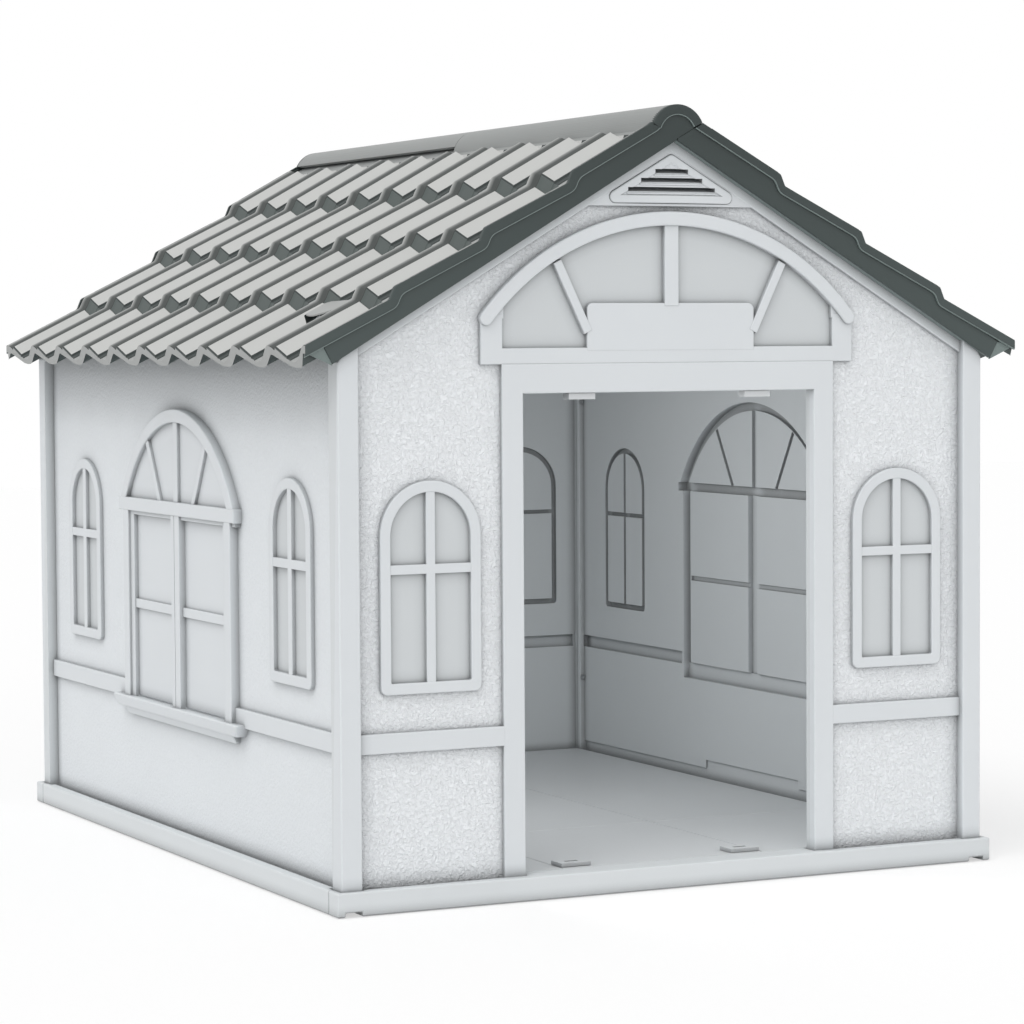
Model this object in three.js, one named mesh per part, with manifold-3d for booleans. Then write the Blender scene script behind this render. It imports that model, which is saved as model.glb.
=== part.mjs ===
// Moulded plastic dog house: base rails, floor panels, four walls and a two-piece tiled roof that lifts off.
// Millimetres, +Z up. The origin is on the ground under the middle of the house, and the door faces -Y.
import * as THREE from 'three';
import { mergeVertices } from 'three/addons/utils/BufferGeometryUtils.js';
import Module from 'manifold-3d';

const wasm = await Module();
wasm.setup();

// ---- driving dimensions ----
const houseWidth = 600; // over the corner posts
const houseDepth = 738; // over the corner posts
const frameDepth = 18; // posts and door frame, outer face to inner face
const postWidth = 18;
const stuccoInset = 9; // stucco behind the post's face
const skin = 3.5; // moulded wall panel
const trimProud = 4; // flat trim in front of the stucco
const fit = 0.3; // gap between touching pieces
const looseFit = 0.5; // gap round a wall's foot in its groove

const baseHeight = 19.5;
const baseLip = 6; // rail's face outside the posts
const railWidth = 45;
const railReturn = 19; // front and rear rails turn the corner by this much
const grooveFloor = 7.7;
const floorThickness = 3.5;
const floorSeamX = 94;
const floorSeamY = -153;
const skirtWidth = 3;
const footNotch = { from: 285, to: 299, height: 3.5, depth: 19 };

const roofSlope = 0.586; // rise over run of the gable
const gableApex = 614; // top of the gable wall on the centre line
const sideWallTop = 438;
const footTop = 18.5; // thickened band along a wall's foot, down in the groove
const rakeTrim = 10.5; // height of the trim along the gable, measured upright

const beltBottom = 125.5;
const beltHeight = 16;

const door = { halfWidth: 136, frame: 19, top: 408, lintel: 24 };
const fanlight = { halfWidth: 173.5, panelTop: 472, archTop: 555, archBand: 11.5, archProud: 6.5 };
const fanPane = { bottom: 444.5, outer: 154, plate: 78, plateTop: 480.5, plateRound: 5.5 };
const fanBars = { mullion: 13, diagonal: 7.5, topX: 105, topZ: 514, footX: 78, footZ: 460, proud: 0.6 };

const gusset = { bottom: 559 };
const vent = {
  bottom: 561.5, halfWidth: 57, slope: 0.57, round: 5, flange: 2.4, flangeThickness: 2, proud: 5,
  slot: 2.8, slotRise: 5, slots: 3, slotBottom: 572, slotPitch: 7.5, slotInset: 10.8,
};

const windowSize = { width: 88, bottom: 171.5, top: 340.5, frame: 9, round: 5.5 };
const windowBars = { mullion: 8, transomBottom: 266.5, transom: 7.7 };
const frontWindowX = 218.4;
const sideWindowX = 254;

const bigArch = { radius: 158, band: 11.7, top: 392, proud: 8 };
const crossbar = { half: 142.5, bottom: 298, height: 12, proud: 8.5, cove: 3, coveInset: 4, coveProud: 5.5 };
const jamb = { outer: 132.8, width: 13.3, proud: 8 };
const sash = {
  width: 8.5, proud: 5.5, paneProud: 1.5, meeting: 20, meetingProud: 7.5, transomBottom: 209.4, transom: 8.4,
};
const fanSpoke = {
  proud: 6.5, paneProud: 3.5, mullion: 10, diagonal: 6.5, topX: 72, topZ: 362, footX: 41, footZ: 308,
};
const sill = { half: 154, halfFoot: 148, top: 128.5, height: 10.7, proud: 12, proudFoot: 10 };
const sillMould = { half: 134, height: 7, proud: 7.5, proudFoot: 5 };

const hollowWall = 2.4; // moulding left between a raised trim's face and its hollow back
const hollowEdge = 1.8;
const kick = { edge: 28, centre: 36, centreHalf: 87, left: 1.7 };

const tongue = { reach: 3, outer: 8.5, inner: 5.5 };
const screw = { shaft: 1.5, head: 2.4, headHeight: 2, length: 13, hole: 1.8, setBack: 2.6 };
const screwHeights = [95, 385];
const endFlange = 6;

const roof = {
  halfWidth: 330, eaveRise: 27.4, rows: 4, rowRun: 78.5, rowSlope: 0.49, stepRun: 6, stepDrop: 11,
};
const topRowSlope = 0.55; // the row next to the ridge is steeper
const tileCount = 10;
const tileSkin = 5;
const tileOverhang = 3; // first and last crest outside the posts' faces
const flange = { end: 30.5, rise: 21 };
// one tile from crest to crest, running to the front: share of the tile's pitch, height under the crest
const tileWave = [[0, 0], [0.13, -1.9], [0.56, -10.2], [0.71, -12.9], [0.83, -11.8], [0.94, -3.1]];
const ridge = { radius: 25, shell: 3.5, rise: 2.4, freeAngle: 25, rootAngle: 172, split: 0.4 };
const barge = {
  overhang: 7.5, plate: 3, rim: 9, capRim: 7, rimProud: 2, lowerDrop: 1.5,
  footInset: 21, endInset: 13, endDrop: 1,
};
const bargeSeam = 0.5;
const ledger = { width: 5, from: 8, frontDrop: 13, rearDrop: 6 };
// the hooded vent in the lowest row; its reaches along a tile are shares of the pitch
const hood = { tile: 2, from: 0.15, to: 0.98, drop: 2.2, shell: 2.2, length: 18.5, tuck: 3 };
const hoodSlot = { from: 0.36, to: 0.84, upper: 5, lower: 17 };

const doorSocket = { x: 80, setBack: 14, width: 27, depth: 19, height: 3, slot: 12, slotDepth: 4 };
const lintelSocket = { x: 82, width: 24, depth: 10, height: 5, slot: 10 };

// ---- derived places ----
const halfWidth = houseWidth / 2;
const halfDepth = houseDepth / 2;
const stuccoFace = stuccoInset - frameDepth; // facade frame: y = 0 is the posts' inner face, outside is -y
const trimFace = stuccoFace - trimProud;
const skinBack = stuccoFace + skin;
const baseHalfWidth = halfWidth + baseLip;
const baseHalfDepth = halfDepth + baseLip;
const ledgeTop = baseHeight - floorThickness - fit;
const footBottom = grooveFloor + fit;
const footBack = stuccoFace + kick.left;
const innerHalfWidth = halfWidth - frameDepth;
const innerHalfDepth = halfDepth - frameDepth;
const beltTop = beltBottom + beltHeight;
const lintelTop = door.top + door.lintel;
const frameHalf = door.halfWidth + door.frame;
const thresholdBack = -innerHalfDepth + 3;
const footEdgeFit = 2.5 * fit; // floor edge inside the posts' inner face
const eaveCrest = gableApex - roofSlope * roof.halfWidth + roof.eaveRise;
const flangeApex = gableApex + flange.rise;
const ridgeCentre = gableApex + ridge.rise;
const tileReach = halfDepth + tileOverhang;
const tilePitch = (2 * tileReach) / tileCount;
const bargeFace = halfDepth + barge.overhang;
const bargeFront = barge.rimProud - bargeFace;
const bargeBack = bargeFront + barge.plate;

// ---- solids ----
function solidFrom(geometry) {
  geometry.deleteAttribute('normal');
  geometry.deleteAttribute('uv');
  const merged = mergeVertices(geometry, 1e-4);
  const triVerts = new Uint32Array(merged.index.array);
  const vertProperties = new Float32Array(merged.attributes.position.array);
  return new wasm.Manifold(new wasm.Mesh({ numProp: 3, vertProperties, triVerts }));
}

function geometryFrom(solid) {
  const mesh = solid.getMesh();
  const geometry = new THREE.BufferGeometry();
  geometry.setAttribute('position', new THREE.BufferAttribute(new Float32Array(mesh.vertProperties), 3));
  geometry.setIndex(new THREE.BufferAttribute(new Uint32Array(mesh.triVerts), 1));
  geometry.computeVertexNormals();
  return geometry;
}

const joined = (solids) => solids.reduce((whole, next) => whole.add(next));
const cutBy = (solid, cutters) => cutters.reduce((left, cutter) => left.subtract(cutter), solid);

// the same solid turned half round, about +z
function turnedRound(solid) {
  return solidFrom(geometryFrom(solid).rotateZ(Math.PI));
}

// the same solid with front and rear exchanged
function mirroredInY(solid) {
  const geometry = geometryFrom(solid);
  geometry.scale(1, -1, 1);
  geometry.index.array.reverse();
  return solidFrom(geometry);
}

function box(x0, x1, y0, y1, z0, z1) {
  const geometry = new THREE.BoxGeometry(Math.abs(x1 - x0), Math.abs(y1 - y0), z1 - z0);
  geometry.translate((x0 + x1) / 2, (y0 + y1) / 2, (z0 + z1) / 2);
  return solidFrom(geometry);
}

const outline = (points) => new THREE.Shape(points.map(([x, z]) => new THREE.Vector2(x, z)));

// a closed outline drawn as (x, z), thick from y = front to y = back
function upright(points, front, back) {
  const geometry = new THREE.ExtrudeGeometry(outline(points), { depth: back - front, bevelEnabled: false });
  geometry.rotateX(Math.PI / 2);
  geometry.translate(0, back, 0);
  return solidFrom(geometry);
}

// a closed section drawn as (y, z), running from x = start to x = end
function run(points, start, end) {
  const geometry = new THREE.ExtrudeGeometry(outline(points), { depth: end - start, bevelEnabled: false });
  geometry.rotateX(Math.PI / 2);
  geometry.rotateZ(Math.PI / 2);
  geometry.translate(start, 0, 0);
  return solidFrom(geometry);
}

function rod(radius, length, sides) {
  return new THREE.CylinderGeometry(radius, radius, length, sides);
}

const radians = (degrees) => (degrees * Math.PI) / 180;

// points along a circle's arc, degrees from +x towards +z
function arc(x, z, radius, from, to, steps) {
  const curve = new THREE.EllipseCurve(x, z, radius, radius, radians(from), radians(to), to < from);
  return curve.getPoints(steps).map((point) => [point.x, point.y]);
}

// a straight bar between two points
function bar(x0, z0, x1, z1, width) {
  const side = new THREE.Vector2(z0 - z1, x1 - x0).setLength(width / 2);
  return [[x0 + side.x, z0 + side.y], [x0 - side.x, z0 - side.y],
    [x1 - side.x, z1 - side.y], [x1 + side.x, z1 + side.y]];
}

// a window opening with a half-round head; inset draws it smaller all round
function archedOpening(x, size, inset) {
  const half = size.width / 2 - inset;
  const bottom = size.bottom + inset;
  const spring = size.top - size.width / 2;
  const round = Math.max(size.round - inset, 0.8);
  const corners = inset > size.round ? 1 : 2;
  return [
    ...arc(x - half + round, bottom + round, round, 180, 270, corners),
    ...arc(x + half - round, bottom + round, round, 270, 360, corners),
    ...arc(x, spring, half, 0, 180, 12)];
}

// the part of a disc above a level
function discAbove(level, radius, centreZ, steps = 18) {
  const start = (Math.asin((level - centreZ) / radius) * 180) / Math.PI;
  return arc(0, centreZ, radius, start, 180 - start, steps);
}

const rakeAt = (x, apex = gableApex) => apex - roofSlope * Math.abs(x);

// ---- wall reliefs: each is { add, hollow }, drawn on a wall that faces -y ----
const hollowBack = skinBack + 1;
const behind = (face) => face + hollowWall;

function smallWindow(x) {
  const size = windowSize;
  const half = size.width / 2;
  const back = skinBack - 1;
  const opening = upright(archedOpening(x, size, size.frame), trimFace - 1, hollowBack);
  const frame = upright(archedOpening(x, size, 0), trimFace, back).subtract(opening);
  const mullion = box(x - windowBars.mullion / 2, x + windowBars.mullion / 2, trimFace, back, size.bottom + 2,
    size.top - 2);
  const transomTop = windowBars.transomBottom + windowBars.transom;
  const transom = box(x - half + 2, x + half - 2, trimFace, back, windowBars.transomBottom, transomTop);
  const hollow = upright(archedOpening(x, size, hollowEdge), behind(trimFace), hollowBack)
    .subtract(upright(archedOpening(x, size, size.frame - hollowEdge), trimFace, hollowBack + 1));
  return { add: joined([frame, mullion, transom]), hollow };
}

function belt(x0, x1) {
  const add = box(x0, x1, trimFace, skinBack - 1, beltBottom, beltTop);
  const hollow = box(x0 + hollowEdge + 1, x1 - hollowEdge - 1, behind(trimFace), hollowBack,
    beltBottom + hollowEdge, beltTop - hollowEdge);
  return { add, hollow };
}

// the round-cornered triangle of the gable vent
function ventOutline(grow) {
  const lean = (Math.atan(vent.slope) * 180) / Math.PI;
  const centreZ = vent.bottom + vent.round;
  const centreX = vent.halfWidth - vent.round;
  const apexZ = centreZ + vent.slope * centreX;
  const footRound = vent.round + grow;
  return [
    ...arc(-centreX, centreZ, footRound, 90 + lean, 270, 4),
    ...arc(centreX, centreZ, footRound, -90, 90 - lean, 4),
    ...arc(0, apexZ, footRound, 90 - lean, 90 + lean, 2)];
}

function doorSurround() {
  const back = skinBack - 1;
  const radius = fanRadius();
  const centreZ = fanlight.archTop - radius;
  const archFace = stuccoFace - fanlight.archProud;
  const inner = radius - fanlight.archBand;
  const arch = upright(discAbove(fanlight.panelTop, radius, centreZ), archFace, back)
    .subtract(upright(discAbove(fanlight.panelTop - 3, inner, centreZ), archFace - 1, back + 1));
  const panes = upright(discAbove(fanPane.bottom, inner, centreZ), trimFace - 1, stuccoFace)
    .intersect(box(-fanPane.outer, fanPane.outer, trimFace - 2, 0, fanPane.bottom, fanlight.archTop));
  const panel = box(-fanlight.halfWidth, fanlight.halfWidth, trimFace, back, lintelTop - 1, fanlight.panelTop)
    .add(upright(discAbove(fanlight.panelTop - 1, radius - 1, centreZ), trimFace, back)).subtract(panes);
  const barFace = trimFace - fanBars.proud;
  const { plate, plateTop, plateRound } = fanPane;
  const blank = upright([[-plate, fanPane.bottom - 1], [plate, fanPane.bottom - 1],
    ...arc(plate - plateRound, plateTop - plateRound, plateRound, 0, 90, 2),
    ...arc(plateRound - plate, plateTop - plateRound, plateRound, 90, 180, 2)], trimFace, back);
  const bars = [
    box(-fanBars.mullion / 2, fanBars.mullion / 2, barFace, back, plateTop - 2, fanlight.archTop - 3)];
  for (const side of [-1, 1]) {
    bars.push(upright(bar(side * fanBars.topX, fanBars.topZ, side * fanBars.footX, fanBars.footZ,
      fanBars.diagonal), barFace, back));
  }
  const frame = box(-frameHalf, frameHalf, trimFace, 0, footBottom, lintelTop);
  return [frame, arch, panel, blank, ...bars];
}

function fanRadius() {
  const rise = fanlight.archTop - fanlight.panelTop;
  return (fanlight.halfWidth ** 2 + rise ** 2) / (2 * rise);
}

// the large window: a fan head over a crossbar, two sashes between jambs, and a sill
function bigWindow() {
  const face = (proud) => stuccoFace - proud;
  const back = skinBack - 1;
  const archCentre = bigArch.top - bigArch.radius;
  const barTop = crossbar.bottom + crossbar.height;
  const disc = (inset, proud) => upright(discAbove(barTop - 1, bigArch.radius - inset, archCentre),
    face(proud), back);
  const arch = disc(0, bigArch.proud).subtract(upright(discAbove(barTop - 2, bigArch.radius - bigArch.band,
    archCentre), face(bigArch.proud + 1), back + 1));
  const top = crossbar.bottom + 1;
  const bottom = sill.top - 1;
  const jambInner = jamb.outer - jamb.width;
  const coveHalf = crossbar.half - crossbar.coveInset;
  const transomTop = sash.transomBottom + sash.transom;
  const sillFoot = sill.top - sill.height;
  const across = (half, proud, z0, z1) => box(-half, half, face(proud), back, z0, z1);
  const pieces = [
    arch,
    disc(bigArch.band - 1, fanSpoke.paneProud),
    across(fanSpoke.mullion / 2, fanSpoke.proud, barTop - 1, bigArch.top - 3),
    across(crossbar.half, crossbar.proud, crossbar.bottom, barTop),
    across(coveHalf, crossbar.coveProud, crossbar.bottom - crossbar.cove, top),
    across(jamb.outer - 1, sash.paneProud, bottom, top),
    across(sash.meeting / 2, sash.meetingProud, bottom, top),
    across(jambInner + 1, sash.proud - 1.5, sash.transomBottom, transomTop)];
  for (const side of [-1, 1]) {
    pieces.push(upright(bar(side * fanSpoke.topX, fanSpoke.topZ, side * fanSpoke.footX, fanSpoke.footZ,
      fanSpoke.diagonal), face(fanSpoke.proud), back));
    pieces.push(box(side * jambInner, side * jamb.outer, face(jamb.proud), back, bottom, top));
    pieces.push(box(side * (jambInner - sash.width), side * (jambInner + 1), face(sash.proud), back,
      bottom, top));
  }
  const slab = run([[face(sill.proud), sill.top], [face(sill.proudFoot), sillFoot], [back, sillFoot],
    [back, sill.top]], -sill.half, sill.half);
  const ends = [-1, 1].map((side) => upright([[side * sill.half, sill.top + 1],
    [side * sill.halfFoot, sillFoot - 1], [side * (sill.half + 9), sillFoot - 1]],
  face(sill.proud + 1), back + 1));
  pieces.push(cutBy(slab, ends));
  const mouldFoot = sillFoot - sillMould.height;
  pieces.push(run([[face(sillMould.proud), sillFoot + 1], [face(sillMould.proudFoot), mouldFoot],
    [back, mouldFoot], [back, sillFoot + 1]], -sillMould.half, sillMould.half));
  return { add: joined(pieces), hollow: bigWindowHollow(archCentre, barTop) };
}

// the hollow back of the large window, one wall's thickness behind each raised face
function bigWindowHollow(archCentre, barTop) {
  const face = (proud) => behind(stuccoFace - proud);
  const level = barTop - hollowEdge;
  const radius = bigArch.radius - hollowEdge - 0.6;
  const jambHalf = jamb.outer - hollowEdge;
  const top = crossbar.bottom + hollowEdge + 1;
  const across = (half, proud, z0, z1) => box(-half, half, face(proud), hollowBack, z0, z1);
  const ring = upright(discAbove(level, radius, archCentre), face(bigArch.proud), hollowBack)
    .subtract(upright(discAbove(level - 1, bigArch.radius - bigArch.band + 2, archCentre),
      face(bigArch.proud) - 1, hollowBack + 1));
  const pieces = [
    ring,
    upright(discAbove(level, radius, archCentre), face(fanSpoke.paneProud), hollowBack),
    across(crossbar.half - hollowEdge, crossbar.proud, crossbar.bottom + hollowEdge, level),
    across(jambHalf, sash.paneProud, sill.top, top),
    across(sash.meeting / 2 - hollowEdge, sash.meetingProud, sill.top, top),
    across(jambHalf, sillMould.proudFoot, sill.top - sill.height - 4, sill.top + 1)];
  for (const side of [-1, 1]) {
    const inner = side * (jamb.outer - jamb.width + hollowEdge);
    pieces.push(box(inner, side * jambHalf, face(jamb.proud), hollowBack, sill.top, top));
  }
  return joined(pieces);
}

// ---- walls, drawn facing -y with the posts' inner face at y = 0 ----
function gableOutline(halfSpan, drop) {
  return [[-halfSpan, footBottom], [halfSpan, footBottom], [halfSpan, rakeAt(halfSpan) - drop],
    [0, gableApex - drop], [-halfSpan, rakeAt(halfSpan) - drop]];
}

function gableWall(withDoor) {
  const postInner = halfWidth - postWidth;
  const panelHalf = halfWidth - postWidth / 2;
  const gussetHalf = (gableApex - gusset.bottom) / roofSlope - 1;
  const rake = upright(gableOutline(halfWidth, 0), trimFace, 0)
    .subtract(upright([[-halfWidth - 1, footBottom - 1], [halfWidth + 1, footBottom - 1],
      [halfWidth + 1, rakeAt(halfWidth + 1) - rakeTrim], [0, gableApex - rakeTrim],
      [-halfWidth - 1, rakeAt(halfWidth + 1) - rakeTrim]], trimFace - 1, 1));
  const add = [
    upright(gableOutline(panelHalf, 1), stuccoFace, skinBack),
    rake,
    upright([[-gussetHalf, gusset.bottom], [gussetHalf, gusset.bottom],
      [0, gusset.bottom + gussetHalf * roofSlope]], trimFace, skinBack - 1),
    box(-panelHalf, panelHalf, trimFace, skinBack, footBottom, footTop)];
  const cuts = [
    upright(ventOutline(fit), trimFace - 1, 1),
    upright(ventOutline(vent.flange + fit), skinBack, 1)];
  const beltInner = withDoor ? frameHalf - 1 : jamb.outer - 1;
  for (const side of [-1, 1]) {
    add.push(upright([[side * halfWidth, footBottom], [side * halfWidth, rakeAt(halfWidth)],
      [side * postInner, rakeAt(postInner)], [side * postInner, footBottom]], -frameDepth, 0));
    const reliefs = [smallWindow(side * frontWindowX),
      side > 0 ? belt(beltInner, postInner + 1) : belt(-postInner - 1, -beltInner)];
    for (const { add: raised, hollow } of reliefs) {
      add.push(raised);
      cuts.push(hollow);
    }
    cuts.push(box(side * (innerHalfWidth + tongue.inner - fit), side * (innerHalfWidth + tongue.outer + fit),
      -tongue.reach - 2 * fit, 1, footBottom - 1, sideWallTop + 8));
    for (const z of screwHeights) {
      const pilot = rod(screw.hole, screw.length, 8).translate(side * (innerHalfWidth + screw.setBack),
        1 - screw.length / 2, z);
      cuts.push(solidFrom(pilot));
    }
  }
  if (withDoor) {
    add.push(...doorSurround());
    cuts.push(box(-door.halfWidth, door.halfWidth, -frameDepth - 1, 1, footBottom - 1, door.top));
  } else {
    const { add: raised, hollow } = bigWindow();
    add.push(raised);
    cuts.push(hollow);
  }
  return cutBy(joined(add), cuts);
}

function sideWall() {
  const half = innerHalfDepth - fit;
  const flangeInner = half - endFlange;
  const add = [
    box(-half, half, stuccoFace, skinBack, footBottom, sideWallTop),
    box(-half, half, trimFace, footBack, footBottom, footTop),
    box(-half, half, stuccoFace, 0, sideWallTop - endFlange, sideWallTop)];
  const cuts = [
    box(-flangeInner, flangeInner, footBack, 1, footBottom - 1, kick.edge),
    box(-kick.centreHalf, kick.centreHalf, footBack, 1, footBottom - 1, kick.centre)];
  for (const side of [-1, 1]) {
    add.push(box(side * flangeInner, side * half, stuccoFace, 0, footBottom, sideWallTop));
    add.push(box(side * (half - 1), side * (half + tongue.reach), -tongue.outer, -tongue.inner, footBottom,
      sideWallTop));
    const reliefs = [smallWindow(side * sideWindowX),
      side > 0 ? belt(jamb.outer - 1, half) : belt(-half, 1 - jamb.outer)];
    for (const { add: raised, hollow } of reliefs) {
      add.push(raised);
      cuts.push(hollow);
    }
    for (const z of screwHeights) {
      const clear = rod(screw.hole, 3 * endFlange, 8).rotateZ(Math.PI / 2)
        .translate(side * half, -screw.setBack, z);
      cuts.push(solidFrom(clear));
    }
  }
  const { add: raised, hollow } = bigWindow();
  return cutBy(joined([...add, raised]), [...cuts, hollow]);
}

// a self-tapping screw pointing along -y, its head's seat at y = 0
function cornerScrew() {
  const profile = [[0, -screw.length], [screw.shaft, -screw.length + 3], [screw.shaft, 0], [screw.head, 0],
    [screw.head * 0.7, screw.headHeight], [0, screw.headHeight]];
  const geometry = new THREE.LatheGeometry(profile.map(([r, y]) => new THREE.Vector2(r, y)), 8);
  const drive = box(-screw.head, screw.head, screw.headHeight - 0.8, screw.headHeight + 1, -0.4, 0.4);
  return solidFrom(geometry).subtract(drive);
}

function ventInsert() {
  const face = stuccoFace - vent.proud;
  const seatFront = skinBack + fit;
  const seatBack = seatFront + vent.flangeThickness;
  const slopeTop = vent.bottom + vent.slope * vent.halfWidth + vent.round * 1.6;
  const slots = [];
  for (let i = 0; i < vent.slots; i += 1) {
    const z = vent.slotBottom + i * vent.slotPitch;
    const half = (slopeTop - z) / vent.slope - vent.slotInset;
    const rise = vent.slotRise;
    slots.push(run([[face - 1, z - vent.slot / 2], [face - 1, z + vent.slot / 2],
      [seatBack + 1, z + vent.slot / 2 + rise], [seatBack + 1, z - vent.slot / 2 + rise]], -half, half));
  }
  const plate = upright(ventOutline(0), face, seatFront + 1);
  return cutBy(plate.add(upright(ventOutline(vent.flange), seatFront, seatBack)), slots);
}

// ---- base and floor ----
// the rail under a gable wall, front at -y; both of its ends turn the corner
function endRail(withDoor) {
  const outer = -baseHalfDepth;
  const inner = outer + railWidth;
  const wallBack = -innerHalfDepth;
  const grooveInner = wallBack + skinBack + looseFit;
  const top = baseHeight + 1;
  const openFrom = withDoor ? door.halfWidth - looseFit : 0;
  const cuts = [];
  for (const side of [-1, 1]) {
    const cut = (near, far, y0, y1, z0, z1) => cuts.push(box(side * near, side * far, y0, y1, z0, z1));
    cut(openFrom, halfWidth + looseFit, wallBack + trimFace - looseFit, grooveInner, grooveFloor, top);
    cut(openFrom, baseHalfWidth + 1, grooveInner, inner + 1, ledgeTop, top);
    cut(innerHalfWidth - looseFit, halfWidth + looseFit, -halfDepth - looseFit, wallBack + looseFit,
      grooveFloor, top);
    if (withDoor) {
      cut(openFrom, frameHalf + looseFit, wallBack + trimFace - looseFit, wallBack + looseFit,
        grooveFloor, top);
    }
    cut(baseHalfWidth - railWidth - fit, baseHalfWidth + 1, outer + railReturn, inner + 1, -1, top);
    cut(footNotch.from, footNotch.to, outer - 1, outer + footNotch.depth + 1, -1, footNotch.height);
  }
  if (withDoor) cuts.push(box(-halfWidth / 2, halfWidth / 2, thresholdBack, inner + 1, ledgeTop, top));
  return cutBy(box(-baseHalfWidth, baseHalfWidth, outer, inner, 0, baseHeight), cuts);
}

// the rail under a side wall, outside at -x
function sideRail() {
  const outer = -baseHalfWidth;
  const inner = outer + railWidth;
  const wallBack = -innerHalfWidth;
  const half = baseHalfDepth - railReturn - fit;
  const grooveInner = wallBack + footBack + looseFit;
  const top = baseHeight + 1;
  const cuts = [
    box(wallBack + trimFace - looseFit, grooveInner, -half - 1, half + 1, grooveFloor, top),
    box(grooveInner, inner + 1, -half - 1, half + 1, ledgeTop, top)];
  for (const side of [-1, 1]) {
    cuts.push(box(-halfWidth - looseFit, wallBack + looseFit, side * (innerHalfDepth - looseFit - endFlange),
      side * (half + 1), grooveFloor, top));
  }
  return cutBy(box(outer, inner, -half, half, 0, baseHeight), cuts);
}

// a floor panel of column -1, 0 or 1 across the house, in the front or the rear row
function floorPanel(column, front) {
  const gap = fit / 2;
  const sideEdge = innerHalfWidth - footEdgeFit;
  const x0 = column < 0 ? -sideEdge : (column === 0 ? -floorSeamX : floorSeamX) + gap;
  const x1 = column > 0 ? sideEdge : (column === 0 ? floorSeamX : -floorSeamX) - gap;
  const y0 = front ? thresholdBack + looseFit : floorSeamY + gap;
  const y1 = front ? floorSeamY - gap : innerHalfDepth - footEdgeFit;
  const plateFoot = baseHeight - floorThickness;
  const clearX = baseHalfWidth - railWidth - looseFit;
  const clearY = baseHalfDepth - railWidth - looseFit;
  const [sx0, sx1] = [Math.max(x0, -clearX), Math.min(x1, clearX)];
  const [sy0, sy1] = [Math.max(y0, -clearY), Math.min(y1, clearY)];
  const skirtY = front ? [sy1 - skirtWidth, sy1] : [sy0, sy0 + skirtWidth];
  const pieces = [
    box(x0, x1, y0, y1, plateFoot, baseHeight),
    box(sx0, sx1, skirtY[0], skirtY[1], 0, plateFoot + 1)];
  if (column >= 0) pieces.push(box(sx0, sx0 + skirtWidth, sy0, sy1, 0, plateFoot + 1));
  if (column <= 0) pieces.push(box(sx1 - skirtWidth, sx1, sy0, sy1, 0, plateFoot + 1));
  return joined(pieces);
}

// ---- sockets for a door ----
function floorSocket() {
  const { width, depth, height, slot, slotDepth } = doorSocket;
  const plate = box(-width / 2, width / 2, -depth / 2, depth / 2, 0, height);
  return plate.subtract(box(-slot / 2, slot / 2, -slotDepth / 2, slotDepth / 2, -1, height + 1));
}

function lintelBlock() {
  const { width, depth, height, slot } = lintelSocket;
  const block = box(-width / 2, width / 2, -depth / 2, depth / 2, -height, 0);
  return block.subtract(box(-slot / 2, slot / 2, -depth / 4, depth, -height - 1, -height / 2));
}

// ---- roof: the left half, where x = -distance from the ridge line ----
const rowEnd = (row) => roof.halfWidth - roof.rowRun * (roof.rows - 1 - row);

function crestHeight(row, distance) {
  const fullRow = roof.rowSlope * (roof.rowRun - roof.stepRun) + roof.stepDrop;
  const slope = row === 0 ? topRowSlope : roof.rowSlope;
  return eaveCrest + (roof.rows - 1 - row) * fullRow + slope * (rowEnd(row) - distance);
}

const flangeHeight = (distance) => flangeApex - roofSlope * distance;

// crest points of the stepped rows as [distance, height], from the ridge out to the eave
function crestLine() {
  const line = [];
  for (let row = 0; row < roof.rows; row += 1) {
    const start = row === 0 ? flange.end : rowEnd(row - 1) + roof.stepRun;
    line.push([start, crestHeight(row, start)], [rowEnd(row), crestHeight(row, rowEnd(row))]);
  }
  return line;
}

// the barge's outline runs on from the crest line up to the foot of the ridge cap
function bargeLine() {
  const start = ridge.radius - 2;
  return [[start, crestHeight(0, start)], ...crestLine().slice(1)];
}

// [y, drop below the crest] from the rear barge to the front one
function waveStations() {
  const stations = [[bargeFace, 0]];
  for (let tile = 0; tile < tileCount; tile += 1) {
    for (const [share, height] of tileWave) stations.push([tileReach - (tile + share) * tilePitch, height]);
  }
  stations.push([-tileReach, 0], [-bargeFace, 0]);
  return stations;
}

// the tiled sheet with its flange at the ridge, as one closed surface
function tileSheet() {
  const flat = [[ridge.split, flangeHeight(ridge.split)], [flange.end - 1, flangeHeight(flange.end - 1)]];
  const upper = [...flat, ...crestLine()];
  const stations = waveStations();
  const columns = upper.length;
  const positions = [];
  for (const drop of [0, tileSkin]) {
    for (const [y, wave] of stations) {
      upper.forEach(([d, z], i) => positions.push(-d, y, z - drop + (i < flat.length ? 0 : wave)));
    }
  }
  const under = stations.length * columns;
  const at = (station, column) => station * columns + column;
  const index = [];
  const quad = (a, b, c, d) => index.push(a, b, c, a, c, d);
  for (let s = 0; s < stations.length - 1; s += 1) {
    for (let c = 0; c < columns - 1; c += 1) {
      quad(at(s, c), at(s, c + 1), at(s + 1, c + 1), at(s + 1, c));
      quad(under + at(s, c), under + at(s + 1, c), under + at(s + 1, c + 1), under + at(s, c + 1));
    }
    quad(at(s, 0), at(s + 1, 0), under + at(s + 1, 0), under + at(s, 0));
    const last = columns - 1;
    quad(at(s, last), under + at(s, last), under + at(s + 1, last), at(s + 1, last));
  }
  const end = stations.length - 1;
  for (let c = 0; c < columns - 1; c += 1) {
    quad(at(0, c), under + at(0, c), under + at(0, c + 1), at(0, c + 1));
    quad(at(end, c), at(end, c + 1), under + at(end, c + 1), under + at(end, c));
  }
  const geometry = new THREE.BufferGeometry();
  geometry.setAttribute('position', new THREE.Float32BufferAttribute(positions, 3));
  geometry.setIndex(index);
  return solidFrom(geometry);
}

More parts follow.
